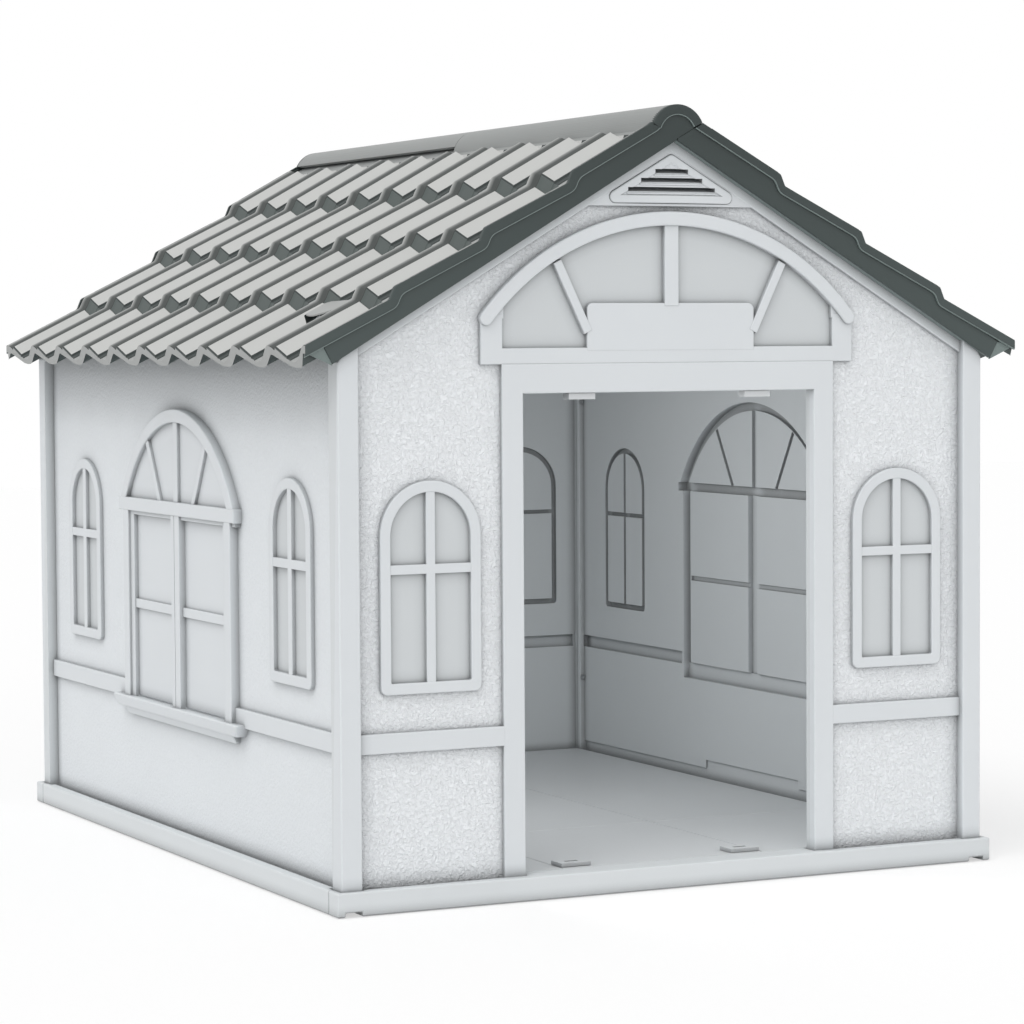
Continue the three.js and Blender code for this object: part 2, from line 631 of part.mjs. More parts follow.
// the half-round cap over the front half of the ridge, rooted in the flange
function ridgeRoll() {
  const shell = [...arc(0, ridgeCentre, ridge.radius, ridge.freeAngle, ridge.rootAngle, 14),
    ...arc(0, ridgeCentre, ridge.radius - ridge.shell, ridge.rootAngle, ridge.freeAngle, 14)];
  return upright(shell, bargeFront, -ridge.split);
}

const seamApex = gableApex - barge.lowerDrop;

// the board's face and its raised rim under the crest line
function bargeBoard() {
  const lower = (distance) => seamApex - roofSlope * distance;
  const crest = bargeLine().map(([d, z]) => [-d, z]);
  const last = crest.length - 1;
  const board = crest.slice(0, last).map(([x, z]) => [x, z - tileSkin / 2]);
  const foot = roof.halfWidth - barge.footInset;
  const plate = upright([[-ridge.split, crest[0][1]], ...board,
    [barge.endInset - roof.halfWidth, eaveCrest - barge.endDrop], [-foot, lower(foot)],
    [-ridge.split, lower(ridge.split)]], bargeFront, bargeBack);
  const rimTop = crest.map(([x, z]) => [x, z - tileSkin / 2]);
  const rimFoot = crest.map(([x, z]) => [x, z - barge.rim]).reverse();
  return plate.add(upright([...rimTop, ...rimFoot], -bargeFace, bargeFront + 1));
}

// the round end of the ridge cap; the board's lower edge runs on across the centre line as its seam
function capEnd(grow, front, back) {
  const disc = arc(0, ridgeCentre, ridge.radius + grow, -10, 190, 22);
  const seam = (x) => seamApex + roofSlope * x - grow;
  const span = ridge.radius + 9;
  const under = seam(-span) - ridge.radius;
  const below = [[-span, seam(-span)], [span, seam(span)], [span, under], [-span, under]];
  return upright(disc, front, back).subtract(upright(below, front - 1, back + 1));
}

function capRim() {
  const ring = [...arc(0, ridgeCentre, ridge.radius, ridge.freeAngle, ridge.rootAngle - 8, 14),
    ...arc(0, ridgeCentre, ridge.radius - barge.capRim, ridge.rootAngle - 8, ridge.freeAngle, 14)];
  return upright(ring, -bargeFace, bargeFront + 1);
}

// a rib under the sheet that stands on a gable wall
function gableRib(y, drop) {
  const crest = crestLine().map(([d, z]) => [-d, z - drop]).filter(([x]) => x > -halfWidth);
  const foot = (distance) => gableApex + fit - roofSlope * distance;
  const points = [[-ledger.from, flangeHeight(ledger.from) - 2], [-flange.end, flangeHeight(flange.end) - 2],
    ...crest, [-halfWidth, crestHeight(roof.rows - 1, halfWidth) - drop], [-halfWidth, foot(halfWidth)],
    [-ledger.from, foot(ledger.from)]];
  return upright(points, y - ledger.width / 2, y + ledger.width / 2);
}

// the hooded vent of the lowest row: a lid across one tile's valley, and the slot through the sheet under it
function ventHood() {
  const row = roof.rows - 1;
  const rear = hood.tile * tilePitch - tileReach;
  const start = rowEnd(row - 1) + roof.stepRun;
  const top = (distance) => crestHeight(row, distance) - hood.drop;
  const near = start - hood.tuck;
  const far = start + hood.length;
  const lid = upright([[-near, top(near)], [-far, top(far)], [-far, top(far) - hood.shell],
    [-near, top(near) - hood.shell]], rear - hood.to * tilePitch, rear - hood.from * tilePitch);
  const slot = box(-start - hoodSlot.lower, -start - hoodSlot.upper, rear - hoodSlot.to * tilePitch,
    rear - hoodSlot.from * tilePitch, top(far) - tilePitch, top(near));
  return { lid, slot };
}

function roofHalf() {
  const ribY = innerHalfDepth + frameDepth / 2;
  const rearBoard = mirroredInY(bargeBoard());
  const otherCap = turnedRound(capEnd(bargeSeam, -bargeFace - 1, bargeBack + fit));
  const { lid, slot } = ventHood();
  const ribs = [gableRib(-ribY, ledger.frontDrop), gableRib(ribY, ledger.rearDrop)];
  const sheet = joined([tileSheet(), rearBoard, ...ribs]);
  return joined([cutBy(sheet, [otherCap, slot]), bargeBoard(), capEnd(0, bargeFront, bargeBack), capRim(),
    ridgeRoll(), lid]);
}

// ---- materials ----
const plastic = (color, roughness) => new THREE.MeshStandardMaterial({ color, roughness, metalness: 0 });
const finish = {
  wall: plastic(0xdde1e4, 0.6),
  base: plastic(0xd5d9db, 0.5),
  floor: plastic(0xc9cdcf, 0.5),
  vent: plastic(0xd3d6d9, 0.5),
  roof: plastic(0x8e9492, 0.55),
  socket: plastic(0xc4c8ca, 0.5),
  steel: new THREE.MeshStandardMaterial({ color: 0xb8babc, roughness: 0.35, metalness: 1 }),
};

// ---- assembly ----
const house = new THREE.Group();

function place(name, solid, material, spot = [0, 0, 0], turn = 0) {
  const mesh = new THREE.Mesh(geometryFrom(solid), material);
  mesh.name = name;
  mesh.position.set(...spot);
  mesh.rotation.z = turn;
  house.add(mesh);
}

const halfTurn = Math.PI;
const quarterTurn = Math.PI / 2;
const leftAndRight = [[-1, 'left'], [1, 'right']];

place('base_rail_front', endRail(true), finish.base);
place('base_rail_rear', endRail(false), finish.base, [0, 0, 0], halfTurn);
place('base_rail_left', sideRail(), finish.base);
place('base_rail_right', sideRail(), finish.base, [0, 0, 0], halfTurn);

for (const [column, side] of [[-1, 'left'], [0, 'middle'], [1, 'right']]) {
  place(`floor_front_${side}`, floorPanel(column, true), finish.floor);
  place(`floor_rear_${side}`, floorPanel(column, false), finish.floor);
}

place('wall_front', gableWall(true), finish.wall, [0, -innerHalfDepth, 0]);
place('wall_rear', gableWall(false), finish.wall, [0, innerHalfDepth, 0], halfTurn);
place('wall_left', sideWall(), finish.wall, [-innerHalfWidth, 0, 0], -quarterTurn);
place('wall_right', sideWall(), finish.wall, [innerHalfWidth, 0, 0], quarterTurn);

place('gable_vent_front', ventInsert(), finish.vent, [0, -innerHalfDepth, 0]);
place('gable_vent_rear', ventInsert(), finish.vent, [0, innerHalfDepth, 0], halfTurn);

for (const [side, name] of leftAndRight) {
  const lintelY = -innerHalfDepth - lintelSocket.depth / 2 - 1;
  place(`floor_socket_${name}`, floorSocket(), finish.socket,
    [side * doorSocket.x, thresholdBack + doorSocket.setBack, baseHeight + fit]);
  place(`lintel_socket_${name}`, lintelBlock(), finish.socket,
    [side * lintelSocket.x, lintelY, door.top - fit]);
}

const screwSeat = innerHalfDepth - endFlange - 2 * fit;
for (const [end, row] of [[-1, 'front'], [1, 'rear']]) {
  for (const [side, name] of leftAndRight) {
    screwHeights.forEach((z, i) => {
      const spot = [side * (innerHalfWidth + screw.setBack), end * screwSeat, z];
      const turn = end < 0 ? 0 : halfTurn;
      place(`corner_screw_${row}_${name}_${i + 1}`, cornerScrew(), finish.steel, spot, turn);
    });
  }
}

place('roof_left', roofHalf(), finish.roof);
place('roof_right', roofHalf(), finish.roof, [0, 0, 0], halfTurn);

export default house;
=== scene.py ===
import math
import bpy
import bmesh
from mathutils import Matrix, Vector


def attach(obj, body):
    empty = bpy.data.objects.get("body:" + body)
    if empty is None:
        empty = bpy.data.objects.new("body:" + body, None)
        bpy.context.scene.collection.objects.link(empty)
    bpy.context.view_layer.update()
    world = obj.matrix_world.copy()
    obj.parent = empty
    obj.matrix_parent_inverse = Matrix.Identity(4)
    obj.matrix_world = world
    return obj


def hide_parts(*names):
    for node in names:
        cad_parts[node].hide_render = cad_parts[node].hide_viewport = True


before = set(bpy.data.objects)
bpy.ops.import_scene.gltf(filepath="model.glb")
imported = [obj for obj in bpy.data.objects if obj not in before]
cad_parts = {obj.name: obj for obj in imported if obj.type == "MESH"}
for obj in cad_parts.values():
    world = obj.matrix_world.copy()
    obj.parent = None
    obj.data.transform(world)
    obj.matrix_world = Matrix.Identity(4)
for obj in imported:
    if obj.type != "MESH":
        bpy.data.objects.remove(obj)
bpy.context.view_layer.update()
print("stage: frame loaded")

# Sizes are in millimetres and turned into metres when a mesh is made.
# x goes right, y goes back and z goes up; the doorway faces -y.

house = {
    "postHalfWidth": 300, "postHalfDepth": 369, "postWidth": 18, "frameDepth": 18, "stuccoFace": -9,
    "trimFace": -13, "skinBack": -5.5, "footBottom": 8, "gableApex": 614, "slope": 0.586, "sideTop": 438,
    "roundEdge": 0.9,  # rounding of a relief's front edges
}
innerX = house["postHalfWidth"] - house["frameDepth"]
innerY = house["postHalfDepth"] - house["frameDepth"]
reliefBack = house["skinBack"] - 1  # a relief starts inside the wall's skin
hollowBack = house["skinBack"] + 1  # and its hollow is open to the inside


# camera, at the photograph's angle

camera = {"azimuth": -26.28, "elevation": 3.03, "roll": -0.35, "lens": 115.87,  # degrees, millimetres
          "place": (-1.31384, -2.72737, 0.45293)}


def addCamera():
    azimuth, elevation, roll = (math.radians(camera[k]) for k in ("azimuth", "elevation", "roll"))
    back = Vector((math.sin(azimuth) * math.cos(elevation), -math.cos(azimuth) * math.cos(elevation),
                   math.sin(elevation)))
    right = (-back).cross(Vector((0, 0, 1))).normalized()
    up = back.cross(right)
    rolledRight = right * math.cos(roll) + up * math.sin(roll)
    rolledUp = up * math.cos(roll) - right * math.sin(roll)
    data = bpy.data.cameras.new("camera")
    data.lens = camera["lens"]
    data.sensor_width = 36
    item = bpy.data.objects.new("camera", data)
    turn = Matrix((rolledRight, rolledUp, back)).transposed().to_4x4()
    item.matrix_world = Matrix.Translation(camera["place"]) @ turn
    bpy.context.scene.collection.objects.link(item)
    bpy.context.scene.camera = item


addCamera()
print("stage: camera")


# materials

colours = {  # sRGB values, 0 to 255
    "stucco": (249, 252, 255), "sideStucco": (231, 235, 238), "trim": (221, 225, 228),
    "pane": (209, 213, 215), "floor": (214, 217, 219), "base": (218, 222, 224), "inside": (216, 220, 222),
    "zinc": (190, 192, 194), "tileFace": (192, 193, 191), "tileEdge": (160, 162, 161),
    "ridge": (138, 141, 140), "groove": (46, 54, 53), "slateHigh": (45, 55, 54), "slateLow": (66, 76, 75),
    "rimEdge": (120, 132, 130), "riser": (72, 81, 79), "beadTop": (172, 174, 172),
    "beadMiddle": (112, 115, 113), "beadFoot": (46, 52, 50),
}
finish = {  # lengths and heights in metres
    "grainSize": 0.0027, "grainDepth": 0.0009, "grainTint": 0.08, "grainRange": (0.36, 0.64),  # stucco
    "peelSize": 0.0016, "peelDepth": 0.00009, "peelStrength": 0.35,  # fine moulded grain
    "tintSize": 0.11, "tintSpread": 0.015, "tintRange": (0.3, 0.7),  # slow change of shade over a moulding
    "creaseShade": 0.4, "creaseStops": (0.4, 0.64, 0.97), "creaseSamples": 8,  # painted shade in corners and creases
    "creaseReach": 0.011, "frontReach": 0.016, "sideReach": 0.014, "slateReach": 0.0045,
    "slateHeights": (0.44, 0.62),  # the boards get darker over these heights
    "eaveHeights": (0.37, 0.44), "eaveShade": [(0.0, 1.0), (0.35, 0.9), (0.65, 0.76), (1.0, 0.52)],
    "tilePitch": 0.0744, "tileReach": 0.372, "beadShift": 0.2,  # the shift keeps a bead in one piece
    "beadStops": [(0.1, "tileEdge"), (0.15, "beadTop"), (0.19, "beadTop"), (0.25, "beadMiddle"),
                  (0.3, "beadFoot"), (0.44, "beadFoot")],  # share of a tile, shifted
}


def linear(rgb):
    def channel(value):
        value /= 255
        return value / 12.92 if value <= 0.04045 else ((value + 0.055) / 1.055) ** 2.4
    return tuple(channel(v) for v in rgb) + (1,)


def grey(level):
    return (level, level, level, 1)


def ramp(nodes, links, value, stops):
    item = nodes.new("ShaderNodeValToRGB")
    elements = item.color_ramp.elements
    for i, (spot, colour) in enumerate(stops):
        element = elements[i] if i < 2 else elements.new(spot)
        element.position = spot
        element.color = colour
    links.new(value, item.inputs["Fac"])
    return item.outputs["Color"]


def noise(nodes, links, place, size, detail, roughness=0.5, distortion=0.0):
    item = nodes.new("ShaderNodeTexNoise")
    item.inputs["Scale"].default_value = 1 / size
    item.inputs["Detail"].default_value = detail
    item.inputs["Roughness"].default_value = roughness
    item.inputs["Distortion"].default_value = distortion
    links.new(place, item.inputs["Vector"])
    return item.outputs["Fac"]


def bump(nodes, links, height, strength, depth, under=None):
    item = nodes.new("ShaderNodeBump")
    item.inputs["Strength"].default_value = strength
    item.inputs["Distance"].default_value = depth
    links.new(height, item.inputs["Height"])
    if under:
        links.new(under, item.inputs["Normal"])
    return item.outputs["Normal"]


def axis(nodes, links, place, name):
    item = nodes.new("ShaderNodeSeparateXYZ")
    links.new(place, item.inputs["Vector"])
    return item.outputs[name]


def times(nodes, links, first, second):
    item = nodes.new("ShaderNodeMix")
    item.data_type = "RGBA"
    item.blend_type = "MULTIPLY"
    item.inputs["Factor"].default_value = 1
    links.new(first, item.inputs["A"])
    links.new(second, item.inputs["B"])
    return item.outputs["Result"]


def plastic(name, colour, roughness, grain=0.0, specular=0.5, paintedShade="creaseReach", tint=None):
    # tint(nodes, links, place) may give another colour output in place of the plain colour
    material = bpy.data.materials.new(name)
    material.use_nodes = True
    nodes, links = material.node_tree.nodes, material.node_tree.links
    shader = nodes["Principled BSDF"]
    shader.inputs["Roughness"].default_value = roughness
    shader.inputs["Specular IOR Level"].default_value = specular
    place = nodes.new("ShaderNodeTexCoord").outputs["Object"]

    low, high = finish["tintRange"]
    slow = ramp(nodes, links, noise(nodes, links, place, finish["tintSize"], 3),
                [(low, grey(1 - finish["tintSpread"])), (high, grey(1))])
    if tint:
        plain = tint(nodes, links, place)
    else:
        flat = nodes.new("ShaderNodeRGB")
        flat.outputs["Color"].default_value = linear(colour)
        plain = flat.outputs["Color"]
    shade = times(nodes, links, plain, slow)
    # painted shade: an ambient occlusion node darkens the colour in corners and creases
    if paintedShade:
        corner = nodes.new("ShaderNodeAmbientOcclusion")
        corner.samples = finish["creaseSamples"]
        corner.inputs["Distance"].default_value = finish[paintedShade]
        dark = finish["creaseShade"]
        levels = zip(finish["creaseStops"], (dark, (1 + dark) / 2, 1))
        deep = ramp(nodes, links, corner.outputs["AO"], [(spot, grey(level)) for spot, level in levels])
        shade = times(nodes, links, shade, deep)

    peel = noise(nodes, links, place, finish["peelSize"], 2)
    normal = bump(nodes, links, peel, finish["peelStrength"], finish["peelDepth"])
    if grain:
        lumps = noise(nodes, links, place, finish["grainSize"], 2.5, 0.55, 0.5)
        low, high = finish["grainRange"]
        raised = ramp(nodes, links, lumps, [(low, grey(0)), (high, grey(1))])
        normal = bump(nodes, links, raised, grain, finish["grainDepth"], normal)
        # painted shade in the grain: the colour darkens where the lumps are low, along with the bump
        lumpShade = ramp(nodes, links, lumps, [(low, grey(1 - finish["grainTint"] * grain)), (high, grey(1))])
        shade = times(nodes, links, shade, lumpShade)
    links.new(normal, shader.inputs["Normal"])
    links.new(shade, shader.inputs["Base Color"])
    return material


def paintedBeadShade(direction):
    # painted light and shade on the crest's bead: pale along its top, darkening towards the next tile's edge
    def tint(nodes, links, place):
        along = nodes.new("ShaderNodeMath")
        along.operation = "MULTIPLY_ADD"
        along.inputs[1].default_value = -direction / finish["tilePitch"]
        along.inputs[2].default_value = finish["tileReach"] / finish["tilePitch"] + 20 + finish["beadShift"]
        links.new(axis(nodes, links, place, "Y"), along.inputs[0])  # the 20 keeps it above zero
        share = nodes.new("ShaderNodeMath")
        share.operation = "FRACT"
        links.new(along.outputs["Value"], share.inputs[0])
        stops = [(spot, linear(colours[key])) for spot, key in finish["beadStops"]]
        return ramp(nodes, links, share.outputs["Value"], stops)
    return tint


def byHeight(nodes, links, place, heights, stops):
    level = nodes.new("ShaderNodeMapRange")
    level.inputs["From Min"].default_value, level.inputs["From Max"].default_value = heights
    links.new(axis(nodes, links, place, "Z"), level.inputs["Value"])
    return ramp(nodes, links, level.outputs["Result"], stops)


def slateTint(nodes, links, place):
    # the boards look a little paler towards the eaves
    stops = [(0, linear(colours["slateLow"])), (1, linear(colours["slateHigh"]))]
    return byHeight(nodes, links, place, finish["slateHeights"], stops)


def paintedEaveShade(nodes, links, place):
    # painted shade: the side walls darken towards their top, standing in for the roof's soft shade just under
    # the eaves
    full = Vector(linear(colours["sideStucco"])[:3])
    stops = [(spot, tuple(full * share) + (1,)) for spot, share in finish["eaveShade"]]
    return byHeight(nodes, links, place, finish["eaveHeights"], stops)


def zincPlate():
    material = plastic("zincPlate", colours["zinc"], 0.35, paintedShade=None)
    material.node_tree.nodes["Principled BSDF"].inputs["Metallic"].default_value = 1
    return material


houseRoughness = {"trim": 0.5, "pane": 0.5, "inside": 0.55, "floor": 0.45, "base": 0.45}
roofRoughness = {"tileFace": 0.55, "tileEdge": 0.5, "groove": 0.6, "riser": 0.5, "rimEdge": 0.5,
                 "ridge": 0.45}
materials = {
    "stucco": plastic("stuccoPlastic", colours["stucco"], 0.62, grain=1.0, specular=0.4, paintedShade="frontReach"),
    # the side walls' stucco is a darker copy of the front stucco, painted shade
    "sideStucco": plastic("sideStuccoPlastic", None, 0.6, grain=0.3, specular=0.4, paintedShade="sideReach",
                          tint=paintedEaveShade),
    "leftBead": plastic("leftBeadPlastic", None, 0.5, paintedShade=None, tint=paintedBeadShade(1)),
    "rightBead": plastic("rightBeadPlastic", None, 0.5, paintedShade=None, tint=paintedBeadShade(-1)),
    "slate": plastic("slatePlastic", None, 0.5, paintedShade="slateReach", tint=slateTint),
    "zinc": zincPlate(),
}
for key, roughness in houseRoughness.items():
    materials[key] = plastic(key + "Plastic", colours[key], roughness)
for key, roughness in roofRoughness.items():
    materials[key] = plastic(key + "Plastic", colours[key], roughness, paintedShade=None)
print("stage: materials")


# mesh helpers

def rawObject(name, vertices, faces):
    mesh = bpy.data.meshes.new(name)
    mesh.from_pydata([Vector(v) * 0.001 for v in vertices], [], faces)
    bm = bmesh.new()
    bm.from_mesh(mesh)
    bmesh.ops.recalc_face_normals(bm, faces=bm.faces)
    bm.to_mesh(mesh)
    bm.free()
    item = bpy.data.objects.new(name, mesh)
    bpy.context.scene.collection.objects.link(item)
    return item


def arc(cx, cz, radius, start, end, steps):
    angles = [math.radians(start + (end - start) * i / steps) for i in range(steps + 1)]
    return [(cx + radius * math.cos(a), cz + radius * math.sin(a)) for a in angles]


def inset(points, distance):
    # every side of a counter-clockwise outline moves in by the distance
    moved = []
    for i, (x, z) in enumerate(points):
        px, pz = points[i - 1]
        nx, nz = points[(i + 1) % len(points)]
        before = Vector((x - px, z - pz)).normalized()
        after = Vector((nx - x, nz - z)).normalized()
        sideBefore = Vector((-before.y, before.x))
        sideAfter = Vector((-after.y, after.x))
        reach = distance / max(1 + sideBefore.dot(sideAfter), 0.2)
        step = (sideBefore + sideAfter) * reach
        moved.append((x + step.x, z + step.y))
    return moved


def rounding(edge):
    # (how far in, how far down from the front) round an edge
    turns = [math.pi / 2 * i / 3 for i in range(4)]
    return [(edge * (1 - math.cos(a)), edge * (1 - math.sin(a))) for a in turns]


def lofted(name, loops, ring):
    # loops of equal length joined by quads; a ring also joins the last to the first, else the ends are capped
    count = len(loops[0])
    vertices = [v for loop in loops for v in loop]
    faces = []
    pairs = len(loops) if ring else len(loops) - 1
    for i in range(pairs):
        a, b = i * count, ((i + 1) % len(loops)) * count
        for j in range(count):
            k = (j + 1) % count
            faces.append((a + j, a + k, b + k, b + j))
    if not ring:
        faces.append(tuple(range(count))[::-1])
        faces.append(tuple(range(len(vertices) - count, len(vertices))))
    return rawObject(name, vertices, faces)


def at(points, y):
    return [(x, y, z) for x, z in points]


def plate(points, front, back, edge=None):
    # a raised plate with a rounded front edge; its outline is counter-clockwise in (x, z)
    edge = house["roundEdge"] if edge is None else edge
    loops = [at(points, back)]
    if edge:
        loops += [at(inset(points, i), front + d) for i, d in rounding(edge)]
    else:
        loops.append(at(points, front))
    return lofted("plate", loops, False)


def frameRing(points, inner, front, back, edge=None):
    # a band between two outlines with the same number of points
    edge = house["roundEdge"] if edge is None else edge
    outerLoops = [at(inset(points, i), front + d) for i, d in rounding(edge)]
    innerLoops = [at(inset(inner, -i), front + d) for i, d in reversed(rounding(edge))]
    return lofted("ring", [at(points, back)] + outerLoops + innerLoops + [at(inner, back)], True)


def rectangle(x0, x1, z0, z1):
    x0, x1 = sorted((x0, x1))
    return [(x0, z0), (x1, z0), (x1, z1), (x0, z1)]


def bar(x0, x1, z0, z1, front, back, edge=None):
    return plate(rectangle(x0, x1, z0, z1), front, back, edge)


def stripe(x0, z0, x1, z1, width):
    side = Vector((z0 - z1, x1 - x0)).normalized() * width / 2
    corners = [(x0 - side.x, z0 - side.y), (x1 - side.x, z1 - side.y), (x1 + side.x, z1 + side.y),
               (x0 + side.x, z0 + side.y)]
    return counterClockwise(corners)


def counterClockwise(points):
    area = sum(points[i - 1][0] * z - x * points[i - 1][1] for i, (x, z) in enumerate(points))
    return points if area > 0 else points[::-1]


def bandAlong(path, width, front, back, edge=None):
    # a flat band along an open line; path(inward) gives the line at that distance inside it
    edge = house["roundEdge"] if edge is None else edge
    section = [(0, back)] + [(i, front + d) for i, d in rounding(edge)]
    section += [(width - i, front + d) for i, d in reversed(rounding(edge))] + [(width, back)]
    lines = [at(path(i), y) for i, y in section]
    loops = [[line[s] for line in lines] for s in range(len(lines[0]))]
    return lofted("band", loops, False)


def block(low, high, edge=0.0):
    (x0, y0, z0), (x1, y1, z1) = low, high
    corners = [(x, y, z) for x in (x0, x1) for y in (y0, y1) for z in (z0, z1)]
    item = rawObject("block", corners, [(0, 1, 3, 2), (4, 6, 7, 5), (0, 4, 5, 1), (2, 3, 7, 6), (0, 2, 6, 4),
                                        (1, 5, 7, 3)])
    if edge:
        bm = bmesh.new()
        bm.from_mesh(item.data)
        bmesh.ops.bevel(bm, geom=bm.edges[:], offset=edge * 0.001, segments=2, profile=0.5, affect="EDGES")
        bm.to_mesh(item.data)
        bm.free()
    return item


def applied(item):
    # the modifiers' result becomes the item's own mesh
    mesh = bpy.data.meshes.new_from_object(item.evaluated_get(bpy.context.evaluated_depsgraph_get()))
    old = item.data
    item.modifiers.clear()
    item.data = mesh
    bpy.data.meshes.remove(old)


def carved(base, joins=(), cuts=()):
    # joins and cuts the solids into the base and returns it
    for operation, tools in (("UNION", joins), ("DIFFERENCE", cuts)):
        for tool in tools:
            step = base.modifiers.new("carve", "BOOLEAN")
            step.operation = operation
            step.solver = "MANIFOLD"
            step.object = tool
    applied(base)
    for tool in list(joins) + list(cuts):
        mesh = tool.data
        bpy.data.objects.remove(tool)
        bpy.data.meshes.remove(mesh)
    return base


def tiePiece(item, name, body, node):
    item.name = name
    item.data.name = name
    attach(item, body)
    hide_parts(node)


def finishPiece(item, name, node, choose, place=None):
    # gives each face of a piece of the house the finish that choose(centre, normal) names
    bm = bmesh.new()
    bm.from_mesh(item.data)
    bmesh.ops.remove_doubles(bm, verts=bm.verts, dist=2e-6)
    bmesh.ops.triangulate(bm, faces=bm.faces)
    keys = [choose(face.calc_center_median() * 1000, face.normal) for face in bm.faces]
    used = sorted(set(keys))
    bm.to_mesh(item.data)
    bm.free()
    item.data.materials.clear()  # this also sets every face back to the first finish
    for key in used:
        item.data.materials.append(materials[key])
    item.data.polygons.foreach_set("material_index", [used.index(key) for key in keys])
    if place is not None:
        item.data.transform(place)
    tiePiece(item, name, "house", node)


# wall reliefs, drawn on a wall that faces -y with the posts' inner face at y = 0

smallWindow = {
    "width": 88, "bottom": 171.5, "top": 340.5, "frame": 9, "corner": 5.5, "archSteps": 28,
    "mullion": 8, "transom": (266.5, 274.2), "barDrop": 0.5, "barTuck": 4,
    "gablePlace": 218.4, "sidePlace": 254,  # from the wall's middle
}
bigWindow = {  # proud is measured from the stucco
    "archRadius": 158, "archBand": 11.7, "archTop": 392, "archProud": 8, "panes": 3.5, "spokes": 6.5,
    "bar": (142.5, 298, 310), "barProud": 8.5, "cove": (138.5, 294.5), "coveProud": 5.5,  # half, heights
    "jamb": (119.5, 132.8), "jambProud": 8, "stile": 8.5, "stileProud": 5.5, "sashPane": 1.5,
    "meeting": 10, "meetingSeam": (-2.2, -1.2), "meetingProud": 7.5,
    "transom": (209.4, 217.8), "transomProud": 4,
    "sill": (154, 148, 117.8, 128.5), "sillProud": (12, 10), "mould": (134, 110.8), "mouldProud": (7.5, 5),
    "fanBars": [(0, 305, 0, 388, 10), (-72, 362, -41, 308, 6.5), (72, 362, 41, 308, 6.5)],  # ends, width
}
fanlight = {
    "radius": 223, "centre": 332, "start": 38.9, "band": 11.5, "proud": 6.5, "half": 173.5, "top": 472,
    "pane": (154, 444.5), "blank": (78, 480.5, 5.5), "barProud": 4.6,
    "bars": [(0, 478, 0, 550, 13), (-105, 514, -77, 457, 7.5), (105, 514, 77, 457, 7.5)],
    "shoulder": [(153, 468), (171.5, 468), (159, 484), (153, 484)],  # between the panel and the arch
}
doorway = {"half": 136, "frame": 19, "top": 408, "lintel": 24}
belt = {"bottom": 125.5, "top": 141.5}
hollow = {"wall": 2.4, "edge": 1.8}


def faceAt(proud):
    return house["stuccoFace"] - proud


def hollowAt(proud):
    return faceAt(proud) + hollow["wall"]


def arched(x, size, spare=0.0):
    half = size["width"] / 2 - spare
    low = size["bottom"] + spare
    spring = size["top"] - size["width"] / 2
    corner = max(size["corner"] - spare, 1.2)
    return (arc(x - half + corner, low + corner, corner, 180, 270, 4)
            + arc(x + half - corner, low + corner, corner, 270, 360, 4)
            + arc(x, spring, half, 0, 180, size["archSteps"]))


def smallWindowPieces(x):
    # (what is joined to the wall, what is cut from it)
    size, edge, front = smallWindow, hollow["edge"], house["trimFace"]
    half, barHalf, tuck = size["width"] / 2, size["mullion"] / 2, size["barTuck"]
    bottom, top = size["bottom"] + tuck, size["top"] - tuck
    low, high = size["transom"]
    barFront = front + size["barDrop"]
    adds = [frameRing(arched(x, size), arched(x, size, size["frame"]), front, reliefBack),
            bar(x - barHalf, x + barHalf, bottom, top, barFront, reliefBack, 0.7),
            bar(x - half + tuck, x + half - tuck, low, high, barFront, reliefBack, 0.7)]
    deep, barDeep = front + hollow["wall"], barFront + hollow["wall"]
    barHalf -= edge
    cuts = [frameRing(arched(x, size, edge), arched(x, size, size["frame"] - edge), deep, hollowBack, 0.4),
            bar(x - barHalf, x + barHalf, bottom, top, barDeep, hollowBack, 0),
            bar(x - half + tuck, x + half - tuck, low + edge, high - edge, barDeep, hollowBack, 0)]
    return adds, cuts


def beltPieces(x0, x1):
    x0, x1 = sorted((x0, x1))
    edge, low, high, front = hollow["edge"], belt["bottom"], belt["top"], house["trimFace"]
    deep = front + hollow["wall"]
    return ([bar(x0, x1, low, high, front, reliefBack)],
            [bar(x0 + edge + 1, x1 - edge - 1, low + edge, high - edge, deep, hollowBack, 0)])


def capped(level, radius, centre):
    start = math.degrees(math.asin((level - centre) / radius))
    return arc(0, centre, radius, start, 180 - start, 48)


def standingArch(level, radius, centre, width, front, back, edge, steps):
    # an arched band whose ends stand on the level
    start = math.degrees(math.asin((level - centre) / radius))

    def path(inward):
        return arc(0, centre, radius - inward, start, 180 - start, steps)
    return bandAlong(path, width, front, back, edge)


